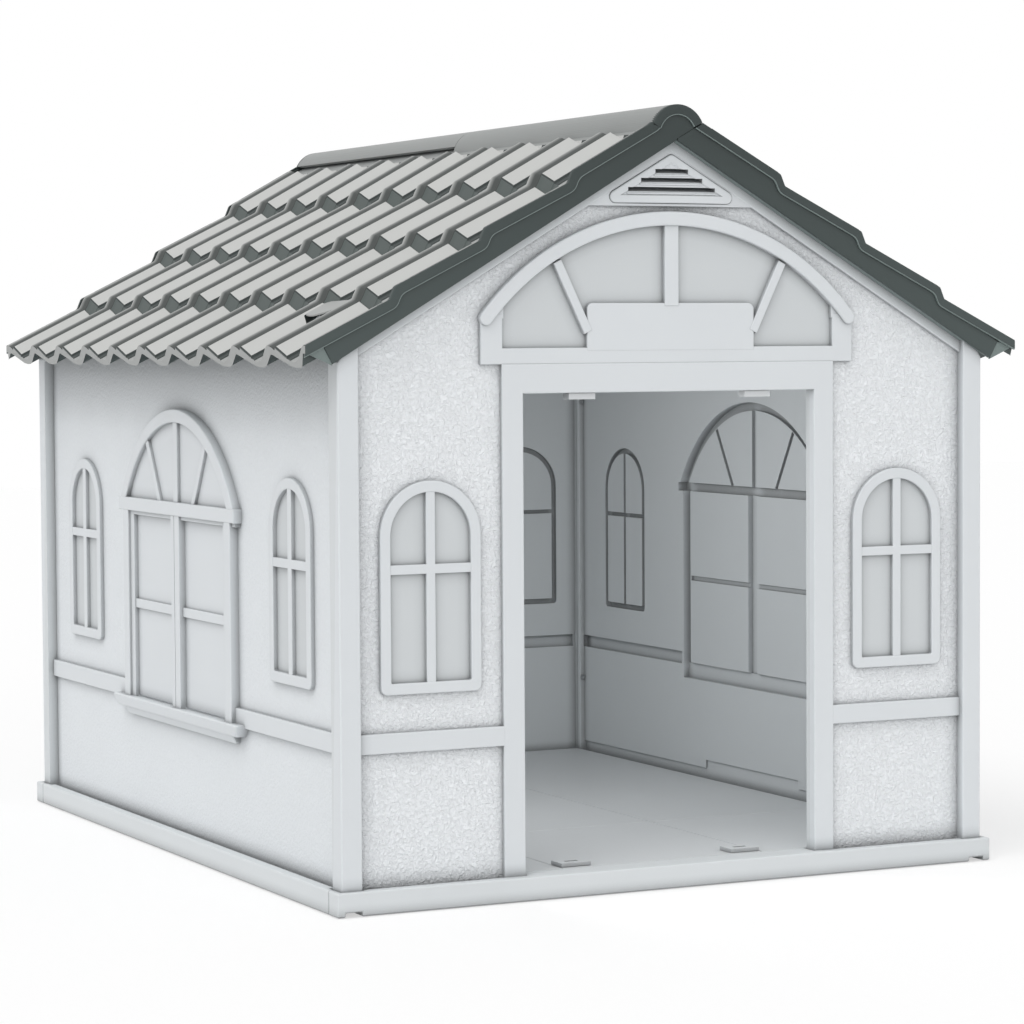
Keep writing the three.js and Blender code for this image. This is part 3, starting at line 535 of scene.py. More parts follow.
def bigWindowPieces():
    size, back = bigWindow, reliefBack
    radius, band = size["archRadius"], size["archBand"]
    centre = size["archTop"] - radius
    barHalf, barLow, barHigh = size["bar"]
    coveHalf, coveLow = size["cove"]
    jambIn, jambOut = size["jamb"]
    meeting, (seamLeft, seamRight) = size["meeting"], size["meetingSeam"]
    sillHalf, sillFoot, sillLow, sillHigh = size["sill"]
    mouldHalf, mouldLow = size["mould"]
    top, bottom = barLow + 1, sillHigh - 1
    adds = [
        standingArch(barHigh - 2, radius, centre, band, faceAt(size["archProud"]), back, 1.3, 56),
        plate(capped(barHigh - 1, radius - band + 2, centre), faceAt(size["panes"]), back, 0),
        bar(-barHalf, barHalf, barLow, barHigh, faceAt(size["barProud"]), back, 1.2),
        bar(-coveHalf, coveHalf, coveLow, barLow + 2, faceAt(size["coveProud"]), back)]
    adds += [plate(stripe(*ends), faceAt(size["spokes"]), back, 0.8) for ends in size["fanBars"]]
    adds += [
        bar(1 - jambOut, jambOut - 1, bottom, top, faceAt(size["sashPane"]), back, 0),
        bar(-jambIn - 1, jambIn + 1, *size["transom"], faceAt(size["transomProud"]), back, 0.7),
        bar(-meeting, seamLeft, bottom, top, faceAt(size["meetingProud"]), back, 0.6),
        bar(seamRight, meeting, bottom, top, faceAt(size["meetingProud"]), back, 0.6),
        bar(1 - meeting, meeting - 1, bottom, top, faceAt(size["meetingProud"] - 2), back, 0)]
    for side in (-1, 1):
        stileIn = jambIn - size["stile"]
        adds.append(bar(side * jambIn, side * jambOut, bottom, top, faceAt(size["jambProud"]), back))
        adds.append(bar(side * stileIn, side * (jambIn + 1), bottom, top, faceAt(size["stileProud"]), back,
                        0.7))
    for highHalf, lowHalf, high, low, proud in (
            (sillHalf, sillFoot, sillHigh, sillLow, size["sillProud"]),
            (mouldHalf, mouldHalf, sillLow + 1, mouldLow, size["mouldProud"])):
        adds.append(slab((highHalf, faceAt(proud[0]), high), (lowHalf, faceAt(proud[1]), low)))
    return adds, bigWindowHollows(centre)


def slab(high, low, edge=1.2):
    # a moulding between two levels of (half length, front, height), with rounded front edges
    (topHalf, topFront, topZ), (lowHalf, lowFront, lowZ) = high, low
    loops = []
    for half, front, z in ((topHalf - edge, topFront + edge, topZ), (topHalf, topFront, topZ - edge),
                           (lowHalf, lowFront, lowZ + edge), (lowHalf - edge, lowFront + edge, lowZ)):
        loops.append([(-half, reliefBack, z), (half, reliefBack, z), (half, front + edge, z),
                      (half - edge, front, z), (edge - half, front, z), (-half, front + edge, z)])
    return lofted("slab", loops, False)


def bigWindowHollows(centre):
    size, edge = bigWindow, hollow["edge"]
    barHalf, barLow, barHigh = size["bar"]
    jambIn, jambOut = size["jamb"]
    sillLow, sillTop = size["sill"][2:]
    low, high = size["transom"]
    meeting, level, top = size["meeting"], barHigh - edge, barLow + edge + 1
    radius, band = size["archRadius"] - edge - 0.6, size["archBand"] - 2 * edge
    cuts = [standingArch(level, radius, centre, band, hollowAt(size["archProud"]), hollowBack, 0.4, 48),
            plate(capped(level, radius, centre), hollowAt(size["panes"]), hollowBack, 0)]
    for *span, proud in (
            (edge - barHalf, barHalf - edge, barLow + edge, level, size["barProud"]),
            (edge - jambOut, jambOut - edge, sillTop, top, size["sashPane"]),
            (edge - meeting, meeting - edge, sillTop, top, size["meetingProud"] - 1),
            (edge - jambOut, jambOut - edge, sillLow - 4, sillTop + 1, size["mouldProud"][1]),
            (-jambIn, jambIn, low + edge, high - edge, size["transomProud"])):
        cuts.append(bar(*span, hollowAt(proud), hollowBack, 0))
    for *ends, width in size["fanBars"]:
        cuts.append(plate(stripe(*ends, width - 2), hollowAt(size["spokes"]), hollowBack, 0))
    deep = hollowAt(size["jambProud"])
    for side in (-1, 1):
        cuts.append(bar(side * (jambIn + edge), side * (jambOut - edge), sillTop, top, deep, hollowBack, 0))
    return cuts


def doorSurroundPieces():
    size, back, front = fanlight, reliefBack, house["trimFace"]
    half, top, foot = doorway["half"], doorway["top"], house["footBottom"]
    outer, lintelTop = half + doorway["frame"], top + doorway["lintel"]
    panelHalf, panelTop = size["half"], size["top"]
    paneHalf, paneLow = size["pane"]
    radius, centre, start, archFace = size["radius"], size["centre"], size["start"], faceAt(size["proud"])

    def arch(inward):
        return arc(0, centre, radius - inward, start, 180 - start, 64)

    adds = [
        plate([(-outer, foot), (-half, foot), (-half, top), (half, top), (half, foot), (outer, foot),
               (outer, lintelTop), (-outer, lintelTop)], front, 0, 1.1),
        plate([(-panelHalf, lintelTop - 0.5), (panelHalf, lintelTop - 0.5), (panelHalf, panelTop),
               (paneHalf, panelTop), (paneHalf, paneLow), (-paneHalf, paneLow), (-paneHalf, panelTop),
               (-panelHalf, panelTop)], front + 0.3, back, 1.0),
        bandAlong(arch, size["band"], archFace, back, 1.4)]
    middle, angle = radius - size["band"] / 2, math.radians(start)
    for side in (-1, 1):
        x, z = side * middle * math.cos(angle), centre + middle * math.sin(angle)
        adds.append(plate(arc(x, z, size["band"] / 2, 0, 342, 19), archFace, back, 1.4))  # the round end
        shoulder = counterClockwise([(side * x, z) for x, z in size["shoulder"]])
        adds.append(plate(shoulder, front + 0.5, back, 0.5))
    blankHalf, blankTop, corner = size["blank"]
    adds.append(plate([(-blankHalf, paneLow - 3), (blankHalf, paneLow - 3)]
                      + arc(blankHalf - corner, blankTop - corner, corner, 0, 90, 5)
                      + arc(corner - blankHalf, blankTop - corner, corner, 90, 180, 5), front, back, 1.1))
    return adds + [plate(stripe(*ends), faceAt(size["barProud"]), back, 0.8) for ends in size["bars"]]


# walls

vent = {
    "bottom": 561.5, "half": 57, "slope": 0.57, "corner": 5, "fit": 0.4, "gusset": 559, "gussetHalf": 92.9,
    "proud": 5, "flange": 2.4, "panelInset": 9, "panelDepth": 1.0, "lip": 0.7, "slotHeight": 3.7,
    "slotRise": 5, "slots": [(572, 40.5), (579.6, 28.5), (587, 15.3)],  # height, half length
}
rake = {"trim": 10.5, "chamfer": 4}
kick = {"thinner": 1.7, "margin": 6, "top": 28, "middleHalf": 87, "middleTop": 36}  # a side wall's foot


def ventOutline(grow):
    lean = math.degrees(math.atan(vent["slope"]))
    radius = vent["corner"] + grow
    cz = vent["bottom"] + vent["corner"]
    cx = vent["half"] - vent["corner"]
    return counterClockwise(arc(-cx, cz, radius, 90 + lean, 270, 6) + arc(cx, cz, radius, -90, 90 - lean, 6)
                            + arc(0, cz + vent["slope"] * cx, radius, 90 - lean, 90 + lean, 5))


def rakeAt(x):
    return house["gableApex"] - house["slope"] * abs(x)


def gableWall(withDoor):
    half, foot, apex = house["postHalfWidth"], house["footBottom"], house["gableApex"]
    trim = house["trimFace"]
    postIn, chamfer = half - house["postWidth"], rake["chamfer"]
    panelHalf, inner = half - house["postWidth"] / 2, postIn + 1
    gusset, gussetHalf = vent["gusset"], vent["gussetHalf"]
    base = plate([(-panelHalf, foot), (panelHalf, foot), (panelHalf, rakeAt(panelHalf) - 2), (0, apex - 2),
                  (-panelHalf, rakeAt(panelHalf) - 2)], house["stuccoFace"], house["skinBack"], 0)
    upper = [(inner, rakeAt(inner)), (0, apex), (-inner, rakeAt(inner))]
    lower = [(x, z - rake["trim"]) for x, z in reversed(upper)]
    adds = [plate(lower + upper, trim, 0, 1.0),
            plate([(-gussetHalf, gusset), (gussetHalf, gusset), (0, gusset + gussetHalf * house["slope"])],
                  trim + 0.3, reliefBack, 0.8)]
    cuts = [plate(ventOutline(vent["fit"]), trim - 2, 2, 0)]
    beltIn = doorway["half"] + doorway["frame"] - 1 if withDoor else bigWindow["jamb"][1] - 1
    for side in (-1, 1):
        post = [(postIn, foot), (half, foot), (half, rakeAt(half) - chamfer),
                (half - chamfer, rakeAt(half - chamfer)), (postIn, rakeAt(postIn))]
        adds.append(plate(counterClockwise([(side * x, z) for x, z in post]), -house["frameDepth"], 0, 1.3))
        for more, less in (smallWindowPieces(side * smallWindow["gablePlace"]),
                           beltPieces(side * beltIn, side * (postIn + 1))):
            adds += more
            cuts += less
    if withDoor:
        adds += doorSurroundPieces()
        for front, back in ((-30, -8.9), (-9.5, 2)):  # through the surround, then through the wall
            cuts.append(bar(-doorway["half"], doorway["half"], foot - 1, doorway["top"], front, back, 0))
    else:
        more, less = bigWindowPieces()
        adds += more
        cuts += less
    return carved(base, adds, cuts)


def sideWall():
    half, foot, top = innerY - 0.3, house["footBottom"], house["sideTop"]
    stucco, margin = house["stuccoFace"], kick["margin"]
    base = bar(-half, half, foot, top, stucco, house["skinBack"], 0)
    adds = [block((-half, stucco + 0.5, top - 6), (half, 0, top - 0.2), 0.6)]
    face = house["skinBack"] - kick["thinner"]
    cuts = [block((margin - half, face, foot - 1), (half - margin, 1, kick["top"])),
            block((-kick["middleHalf"], face, foot - 1), (kick["middleHalf"], 1, kick["middleTop"]))]
    for side in (-1, 1):
        x0, x1 = sorted((side * (half - margin), side * (half - 0.1)))
        adds.append(block((x0, stucco + 0.5, foot), (x1, 0, top - 1), 0.6))
        for more, less in (smallWindowPieces(side * smallWindow["sidePlace"]),
                           beltPieces(side * (bigWindow["jamb"][1] - 1), side * half)):
            adds += more
            cuts += less
    more, less = bigWindowPieces()
    return carved(base, adds + more, cuts + less)


def paneTest(place, withFan=False):
    # true where a point of the stucco's plane is a smooth pane
    half, spring = smallWindow["width"] / 2, smallWindow["top"] - smallWindow["width"] / 2
    paneHalf, paneLow = fanlight["pane"]

    def test(x, z):
        away = abs(abs(x) - place)
        if away < half and smallWindow["bottom"] < z < smallWindow["top"]:
            if z < spring or math.hypot(away, z - spring) < half:
                return True
        inFan = z > paneLow and math.hypot(x, z - fanlight["centre"]) < fanlight["radius"] - 4
        return withFan and inFan and abs(x) < paneHalf + 1
    return test


def wallFinish(isPane, plain="stucco"):
    def choose(centre, normal):
        if normal.y > 0.9 or centre.y > house["skinBack"] - 0.2:
            return "inside"
        if normal.y < -0.99 and abs(centre.y - house["stuccoFace"]) < 0.05:
            return "pane" if isPane(centre.x, centre.z) else plain
        return "trim"
    return choose


def turned(x, y, degrees):
    return Matrix.Translation((x * 0.001, y * 0.001, 0)) @ Matrix.Rotation(math.radians(degrees), 4, "Z")


gableFinish = wallFinish(paneTest(smallWindow["gablePlace"], True))
rearFinish = wallFinish(paneTest(smallWindow["gablePlace"]))
sideFinish = wallFinish(paneTest(smallWindow["sidePlace"]), "sideStucco")
finishPiece(gableWall(True), "frontWall", "wall_front", gableFinish, turned(0, -innerY, 0))
print("stage: front wall")
finishPiece(gableWall(False), "rearWall", "wall_rear", rearFinish, turned(0, innerY, 180))
finishPiece(sideWall(), "leftWall", "wall_left", sideFinish, turned(-innerX, 0, -90))
finishPiece(sideWall(), "rightWall", "wall_right", sideFinish, turned(innerX, 0, 90))
print("stage: walls")


def ventInsert():
    face, skin, depth = faceAt(vent["proud"]), house["skinBack"], vent["panelDepth"]
    body = plate(ventOutline(0), face, skin + 1, 1.2)
    flange = plate(ventOutline(vent["flange"]), skin + 0.3, skin + 2.3, 0)
    low, high = face - 1, skin + 4
    half, foot = vent["half"] - vent["panelInset"], vent["bottom"] + 6
    outer = [(-half, foot), (half, foot), (0, foot + vent["slope"] * half)]
    inner = inset(outer, 1.2)
    recess = lofted("recess", [at(outer, face - 0.5), at(outer, face), at(inner, face + depth)], False)
    slots, lips = [], []
    for z, half in vent["slots"]:
        rise, tall = vent["slotRise"], vent["slotHeight"] / 2
        slots.append(lofted("slot", [[(x, low, z - tall), (x, low, z + tall), (x, high, z + tall + rise),
                                      (x, high, z - tall + rise)] for x in (-half, half)], False))
        lips.append(bar(-half - 0.8, half + 0.8, z - tall - 1.5, z - tall - 0.1, face + depth - vent["lip"],
                        face + depth + 1, 0.5))
    return carved(carved(body, [flange], [recess]), lips, slots)


def trimOnly(centre, normal):
    return "trim"


finishPiece(ventInsert(), "frontVent", "gable_vent_front", trimOnly, turned(0, -innerY, 0))
finishPiece(ventInsert(), "rearVent", "gable_vent_rear", trimOnly, turned(0, innerY, 180))
print("stage: vents")


# base and floor

softEdge = {"base": 1.4, "floor": 0.9, "fromAngle": 50}  # millimetres, degrees


def softEdged(node, key):
    # the node's own form with its edges rounded off
    first, *rest = node.split("_")
    name = first + "".join(word.capitalize() for word in rest) + "Piece"
    item = bpy.data.objects.new(name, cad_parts[node].data.copy())
    bpy.context.scene.collection.objects.link(item)
    bm = bmesh.new()
    bm.from_mesh(item.data)
    bmesh.ops.remove_doubles(bm, verts=bm.verts, dist=1e-6)
    bmesh.ops.dissolve_limit(bm, angle_limit=0.01, verts=bm.verts, edges=bm.edges)
    bm.to_mesh(item.data)
    bm.free()
    step = item.modifiers.new("soft", "BEVEL")
    step.width = softEdge[key] * 0.001
    step.segments = 2
    step.limit_method = "ANGLE"
    step.angle_limit = math.radians(softEdge["fromAngle"])
    applied(item)
    finishPiece(item, name, node, lambda centre, normal: key)


for node in sorted(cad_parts):
    if node.startswith("base_rail"):
        softEdged(node, "base")
    elif "socket" in node or node.startswith("corner_screw"):
        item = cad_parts[node]
        item.data.materials.clear()
        item.data.materials.append(materials["floor" if "socket" in node else "zinc"])
    elif node.startswith("floor_"):
        softEdged(node, "floor")
print("stage: base and floor")


# roof: the left half, x = -distance from the ridge line; the right half is the same, turned round

roof = {
    "eaveCrest": 448, "rowEnds": (94.5, 173, 251.5, 330), "slopes": (0.55, 0.49, 0.49, 0.49), "stepRun": 6,
    "stepDrop": 11, "flangeEnd": 30.5, "flangeTop": 635, "flangeStop": 0.007, "split": 0.4, "pitch": 74.4,
    "tiles": 10, "face": 376.5, "panelLift": 1.4, "skin": 5, "bend": (1.2, 5.4),
    # stations along a row: after its start, and before its end
    "begin": (0, 0.8, 2, 6), "end": (5, 3, 1.8, 0.9),
    # the panel's (distance, fall) past a row's end, and the bead's distance there
    "step": [((0.5, 0.9), 1.5), ((2.6, 5.6), 3), ((5.3, 10.3), 4.5)],
}
roofHalfLength = roof["pitch"] * roof["tiles"] / 2  # the tiles alone, without the boards
# one tile from crest to crest, running to the front: share of the pitch, height, share of the soft bend
tileSection = [
    (0.0, 0.0, 1), (0.035, -0.12, 1), (0.075, -0.5, 1), (0.115, -1.15, 1), (0.155, -2.0, 1),
    (0.187, -2.9, 0.9), (0.21, -3.7, 0.55), (0.226, -3.7, 0.15), (0.234, -1.75, 0), (0.244, -1.3, 0),
    (0.34, -3.7, 0), (0.44, -6.2, 0), (0.536, -8.6, 0), (0.545, -9.0, 0), (0.552, -10.5, 0),
    (0.6, -11.1, 0.1), (0.636, -11.5, 0.15), (0.644, -12.4, 0.2), (0.71, -12.9, 0.35), (0.77, -12.95, 0.5),
    (0.82, -12.1, 0.6), (0.86, -10.3, 0.7), (0.9, -7.7, 0.8), (0.93, -4.4, 0.9), (0.955, -1.9, 1),
    (0.98, -0.5, 1),
]
tileUnderside = [(0, -15.7), (0.12, -6.4), (0.41, -11.3), (0.7, -16.2), (0.84, -17.1), (0.96, -16.9),
                 (1, -15.7)]
panelShares = (0.24, 0.54)
grooveShares = (0.66, 0.84)  # where the painted shadow beside a panel gives way to the pale edge tone, and where the next bead begins


def crestAt(row, d):
    full = roof["slopes"][-1] * (roof["rowEnds"][1] - roof["rowEnds"][0] - roof["stepRun"]) + roof["stepDrop"]
    return roof["eaveCrest"] + (3 - row) * full + roof["slopes"][row] * (roof["rowEnds"][row] - d)


def flangeAt(d):
    return roof["flangeTop"] - house["slope"] * d


def smoothStep(value):
    value = min(max(value, 0), 1)
    return value * value * (3 - 2 * value)


def beadAt(row, d):
    # the crest's height with each step turned into a soft bend
    bend = roof["bend"]
    end = roof["rowEnds"][row]
    begin = roof["rowEnds"][row - 1] if row else None
    if row < 3 and d > end - bend[0]:
        k = smoothStep((d - end + bend[0]) / (bend[0] + bend[1]))
        return (1 - k) * crestAt(row, d) + k * crestAt(row + 1, d)
    if begin and d < begin + bend[1]:
        k = smoothStep((d - begin + bend[0]) / (bend[0] + bend[1]))
        return (1 - k) * crestAt(row - 1, d) + k * crestAt(row, d)
    return crestAt(row, d)


def slopeStations():
    # (panel point, bead point, is the panel raised) from the ridge to the eave, points as (distance, height)
    flange = [(d, flangeAt(d)) for d in (roof["split"], roof["flangeEnd"] - 1.2)]
    stations = [(p, p, None) for p in flange]
    for row, end in enumerate(roof["rowEnds"]):
        start = roof["rowEnds"][row - 1] + roof["stepRun"] if row else roof["flangeEnd"]
        level = [start + d for d in roof["begin"]] + [(start + end) / 2] + [end - d for d in roof["end"]]
        for d in level:
            bead = beadAt(row, d) - (1.2 if row == 0 and d == start else 0)
            stations.append(((d, crestAt(row, d)), (d, bead), True))
        for d in (end - 0.5, end):
            drop = 0.5 if row == 3 and d == end else 0
            stations.append(((d, crestAt(row, d)), (d, beadAt(row, d) - drop), False))
        if row < 3:
            z = crestAt(row, end)
            for (out, fall), bend in roof["step"]:
                stations.append(((end + out, z - fall), (end + bend, beadAt(row, end + bend)), False))
    return stations


def tileColumns():
    # (y, share along the tile, height, bend) from the rear board to the front one
    rear, face, pitch = roofHalfLength, roof["face"], roof["pitch"]
    columns = [(face, 0, 0, 1), (face - 1.5, 0, 0, 1)]
    for tile in range(roof["tiles"]):
        columns += [(rear - (tile + share) * pitch, share, z, bend) for share, z, bend in tileSection]
    return columns + [(-rear, 0, 0, 1), (1.5 - face, 0, 0, 1), (-face, 0, 0, 1)]


def undersideAt(share):
    for (a, low), (b, high) in zip(tileUnderside, tileUnderside[1:]):
        if a <= share <= b:
            return low + (high - low) * (share - a) / (b - a)
    return tileUnderside[0][1]


def paintKey(share, raised, riser, lip):
    if raised is None:
        return "ridge"
    if panelShares[0] < share < panelShares[1]:
        # a panel's small step faces get a dark painted shadow line
        if lip:
            return "groove"
        return "riser" if riser or not raised else "tileFace"
    # beside a panel the groove gets painted shadow, then the pale edge tone
    if panelShares[1] <= share < grooveShares[1]:
        if riser:
            return "riser"
        return "tileEdge" if share > grooveShares[0] else "groove"
    return "bead"


def sheetFaces(rows, count):
    # (face, part, column, row) of a sheet of columns, with all its upper points before its lower ones
    base = rows * count
    found = []
    for c in range(count - 1):
        for s in range(rows - 1):
            a, b = c * rows + s, (c + 1) * rows + s
            found.append(((a, a + 1, b + 1, b), "top", c, s))
            found.append(((base + a, base + b, base + b + 1, base + a + 1), "under", c, s))
        for s, part in ((0, "start"), (rows - 1, "foot")):
            a, b = c * rows + s, (c + 1) * rows + s
            found.append(((a, b, base + b, base + a), part, c, s))
    for c in (0, count - 1):
        for s in range(rows - 1):
            a = c * rows + s
            found.append(((a, a + 1, base + a + 1, base + a), "side", c, s))
    return found


def tileSheet():
    stations, columns = slopeStations(), tileColumns()
    top, under = [], []
    for y, share, z, bend in columns:
        ends = abs(y) > roofHalfLength - 0.1
        lift = roof["panelLift"] if panelShares[0] < share < panelShares[1] else 0
        for panel, bead, raised in stations:
            if raised is None:  # the flange at the ridge stops behind the boards' rims
                back = y * (1 - roof["flangeStop"] * ends)
                top.append((-panel[0], back, panel[1]))
                under.append((-panel[0], back, panel[1] - roof["skin"]))
                continue
            d = panel[0] + (bead[0] - panel[0]) * bend
            height = panel[1] + (bead[1] - panel[1]) * bend + z - (0 if raised else lift)
            top.append((-d, y, height))
            depth = -roof["skin"] - 1 if ends else undersideAt(share)
            under.append((-bead[0], y, bead[1] + depth))
    faces, keys = [], []
    for face, part, c, s in sheetFaces(len(stations), len(columns)):
        faces.append(face)
        if part != "top":
            keys.append("tileEdge" if part == "foot" else "slate")
            continue
        share = (columns[c][1] + (columns[c + 1][1] or 1)) / 2
        if abs(columns[c][0]) > roofHalfLength or c >= len(columns) - 3:
            share = 0
        (d0, z0), _, here = stations[s]
        (d1, z1), _, after = stations[s + 1]
        lip = None not in (here, after) and here != after
        riser = z0 - z1 > 1.2 * (d1 - d0) and s > 2
        keys.append(paintKey(share, after if here is None else here, riser, lip))
    return painted(rawObject("tileSheet", top + under, faces), keys)


roofKeys = ["tileFace", "bead", "tileEdge", "groove", "slate", "ridge", "riser", "rimEdge"]


def painted(item, keys):
    # one finish for the whole piece, or one for each face; the bead's own finish comes at the end
    if isinstance(keys, str):
        keys = [keys] * len(item.data.polygons)
    item.data.materials.clear()
    for name in roofKeys:
        item.data.materials.append(materials.get(name))
    item.data.polygons.foreach_set("material_index", [roofKeys.index(key) for key in keys])
    return item


ridge = {"radius": 25, "shell": 3.5, "centre": 616.4, "freeAngle": 25, "rootAngle": 172, "steps": 40}
barge = {
    "plate": 3, "rimProud": 2, "rim": 8, "rearRim": 6.6, "cord": 0.9, "edge": 0.8,  # the cord is a painted highlight along the rim's lower edge
    "seamApex": 612.5, "foot": 306, "end": (313.7, 447), "rollStart": 164, "late": 2.4, "cove": 3.5,
    "lip": 1.6, "turnIn": (-370, -364.8), "turnFrom": 280,  # the lip under the board reaches this deep; it is painted pale, painted light where the board's underside lies in shade
    "wedge": [(4, 0), (-14, -2), (-12.5, -6)],  # from the board's end
}
rib = {"width": 5, "from": 8, "frontDrop": 16, "rearDrop": 7}
bargeFront = barge["rimProud"] - roof["face"]
bargeBack = bargeFront + barge["plate"]


def crestLine(first):
    line = [(-first, crestAt(0, first))]
    for row, end in enumerate(roof["rowEnds"]):
        if row:
            start = roof["rowEnds"][row - 1] + roof["stepRun"]
            line.append((-start, crestAt(row, start)))
        line.append((-end, crestAt(row, end)))
    return line


def softened(line, reach):
    # each inner corner of an open line becomes a short curve
    soft = [line[0]]
    for before, corner, after in zip(line, line[1:], line[2:]):
        a, b, c = Vector(before), Vector(corner), Vector(after)
        start = b + (a - b).normalized() * min(reach, (a - b).length * 0.48)
        stop = b + (c - b).normalized() * min(reach, (c - b).length * 0.48)
        for k in range(5):
            t = k / 4
            soft.append(tuple(start * (1 - t) ** 2 + b * 2 * t * (1 - t) + stop * t ** 2))
    return soft + [line[-1]]


def rimPath(inward, overRoll):
    # the board's upper outline at a distance inside it, from the eave up to the ridge line or over the roll
    corners = [(-roof["rowEnds"][3], crestAt(3, roof["rowEnds"][3]))]
    for row in (2, 1, 0):
        start = roof["rowEnds"][row] + roof["stepRun"] + 0.6
        corners.append((-start, crestAt(row + 1, start)))
        end = roof["rowEnds"][row] + barge["late"]
        corners.append((-end, crestAt(row, end)))
    roll = arc(0, ridge["centre"], ridge["radius"] - inward, barge["rollStart"], ridge["freeAngle"],
               ridge["steps"])
    near = roll[0][0] - barge["cove"] if overRoll else -roof["split"] - 0.2
    last = (near, crestAt(0, -near))
    line = [(corners[0][0], corners[0][1] - inward * math.sqrt(1 + roof["slopes"][3] ** 2))]
    for before, corner, after in zip(corners, corners[1:], corners[2:] + [last]):
        a, b, c = Vector(before), Vector(corner), Vector(after)
        ahead, behind = (b - a).normalized(), (c - b).normalized()
        normalA, normalB = Vector((ahead.y, -ahead.x)), Vector((behind.y, -behind.x))
        line.append(tuple(b + (normalA + normalB) * (inward / (1 + normalA.dot(normalB)))))
    line.append((near, last[1] - inward * math.sqrt(1 + roof["slopes"][0] ** 2)))
    line = softened(line, 1.4 + inward * 0.35)
    if overRoll:
        cove = [line[-1], (roll[0][0] - 0.5, line[-1][1] + 2.5), roll[1]]
        line = line[:-1] + softened(cove, 4)[:-1] + roll[1:]
    return line


def bargeBoard(mirror=False):
    line = softened(crestLine(ridge["radius"] - 2), 2.5)
    split, foot, turn, lip = roof["split"], barge["foot"], barge["turnFrom"], barge["lip"]
    width = barge["rearRim"] if mirror else barge["rim"]
    endX, endZ = barge["end"]

    def seamAt(d):
        return barge["seamApex"] - house["slope"] * d

    def lipFrom(d):
        return [(-d, seamAt(d)), (-split, seamAt(split)), (-split, seamAt(split) + lip),
                (-d, seamAt(d) + lip)]

    def rim(inward, width, front, edge):
        return bandAlong(lambda i: rimPath(inward + i, not mirror), width, front, bargeFront + 1, edge)

    board = ([(-split, line[0][1])] + [(x, z - 2.5) for x, z in line[:-1]]
             + [(-endX, endZ), (-foot, seamAt(foot)), (-split, seamAt(split))])
    wedge = [(x - endX, endZ + z) for x, z in barge["wedge"]] + [(-foot, seamAt(foot) - 1)]
    # the lips and the cord are painted light in the pale rim tone, and the wedge takes the same tone
    items = [
        painted(plate(counterClockwise(board), bargeFront, bargeBack, 0.6), "slate"),
        painted(plate(counterClockwise(lipFrom(foot)), bargeFront + 1, barge["turnIn"][0], 0), "rimEdge"),
        painted(plate(counterClockwise(lipFrom(turn)), bargeFront + 1, barge["turnIn"][1], 0), "rimEdge"),
        painted(plate(counterClockwise(wedge), bargeFront + 1.2, bargeBack, 0), "rimEdge"),
        painted(rim(0, width, -roof["face"], barge["edge"]), "slate"),
        painted(rim(width - 0.3, barge["cord"], 0.4 - roof["face"], 0.2), "rimEdge")]
    if mirror:
        for item in items:
            item.data.transform(Matrix.Scale(-1, 4, (0, 1, 0)))
            item.data.flip_normals()
    return items


def capEnd(grow, front, back, edge):
    # the part of the cap's disc above the line z = seam + slope * x
    radius, seam = ridge["radius"] + grow, barge["seamApex"] - grow
    disc = arc(0, ridge["centre"], radius, -60, 240, 72)
    points = [(x, z) for x, z in disc if z >= seam + house["slope"] * x]
    return plate(counterClockwise(points), front, back, edge)


def ridgeRoll():
    centre, radius, steps = ridge["centre"], ridge["radius"], ridge["steps"]
    shell = (arc(0, centre, radius, ridge["freeAngle"], ridge["rootAngle"], steps)
             + arc(0, centre, radius - ridge["shell"], ridge["rootAngle"], ridge["freeAngle"], steps))
    return painted(plate(counterClockwise(shell), bargeFront, -roof["split"], 0.7), "ridge")


def gableRib(y, drop):
    near, reach, flangeEnd = rib["from"], house["postHalfWidth"], roof["flangeEnd"]
    line = [(x, z - drop) for x, z in crestLine(flangeEnd) if x > -reach]
    foot = house["gableApex"] + 0.3
    points = ([(-near, flangeAt(near) - 2), (-flangeEnd, flangeAt(flangeEnd) - 2)] + line
              + [(-reach, crestAt(3, reach) - drop), (-reach, foot - house["slope"] * reach),
                 (-near, foot - house["slope"] * near)])
    return painted(plate(counterClockwise(points), y - rib["width"] / 2, y + rib["width"] / 2, 0), "slate")


hood = {
    "thickness": 1.2, "start": 254, "steps": 8, "droop": 0.2, "slotHeights": (430, 500),
    # across the tile: y, height under the crest line, distance of the lip
    "lid": [(-234, 3.0, 267), (-240, 2.4, 271.5), (-247, 2.1, 274.5), (-254, 1.9, 276), (-261, 1.8, 276.8),
            (-268, 1.7, 276.8), (-274, 1.5, 275.6), (-280, 1.4, 273.6), (-286, 1.2, 271.4),
            (-291, 1.2, 269.4), (-296.5, 1.7, 267.5)],
    # the opening seen from above: distance, y
    "slot": [(262, -245.5), (275.8, -245.5), (279.8, -260), (284, -275), (286, -290), (262, -290)],
}


def ventHood():
    steps, start = hood["steps"], hood["start"]
    top, under = [], []
    for y, drop, lip in hood["lid"]:
        for i in range(steps + 1):
            d = start + (lip - start) * i / steps
            z = crestAt(3, d) - drop - hood["droop"] * (i / steps) ** 3
            top.append((-d, y, z))
            under.append((-d, y, z - hood["thickness"]))
    faces = [face for face, *_ in sheetFaces(steps + 1, len(hood["lid"]))]
    return painted(rawObject("lid", top + under, faces), "tileEdge")


def roofHalf():
    loops = [[(-d, y, z) for d, y in hood["slot"]] for z in hood["slotHeights"]]
    # the slot's cut faces take the dark painted shadow
    slot = painted(lofted("slot", loops, False), "groove")
    otherCap = capEnd(0.5, -roof["face"] - 1, bargeBack + 0.3, 0)
    otherCap.data.transform(Matrix.Rotation(math.pi, 4, "Z"))
    painted(otherCap, "slate")
    ribY = innerY + house["frameDepth"] / 2
    ribs = [gableRib(-ribY, rib["frontDrop"]), gableRib(ribY, rib["rearDrop"])]
    half = carved(tileSheet(), bargeBoard(True) + ribs, [otherCap, slot])
    cap = painted(capEnd(0, bargeFront, bargeBack, 0.6), "slate")
    return carved(half, bargeBoard() + [cap, ridgeRoll(), ventHood()])


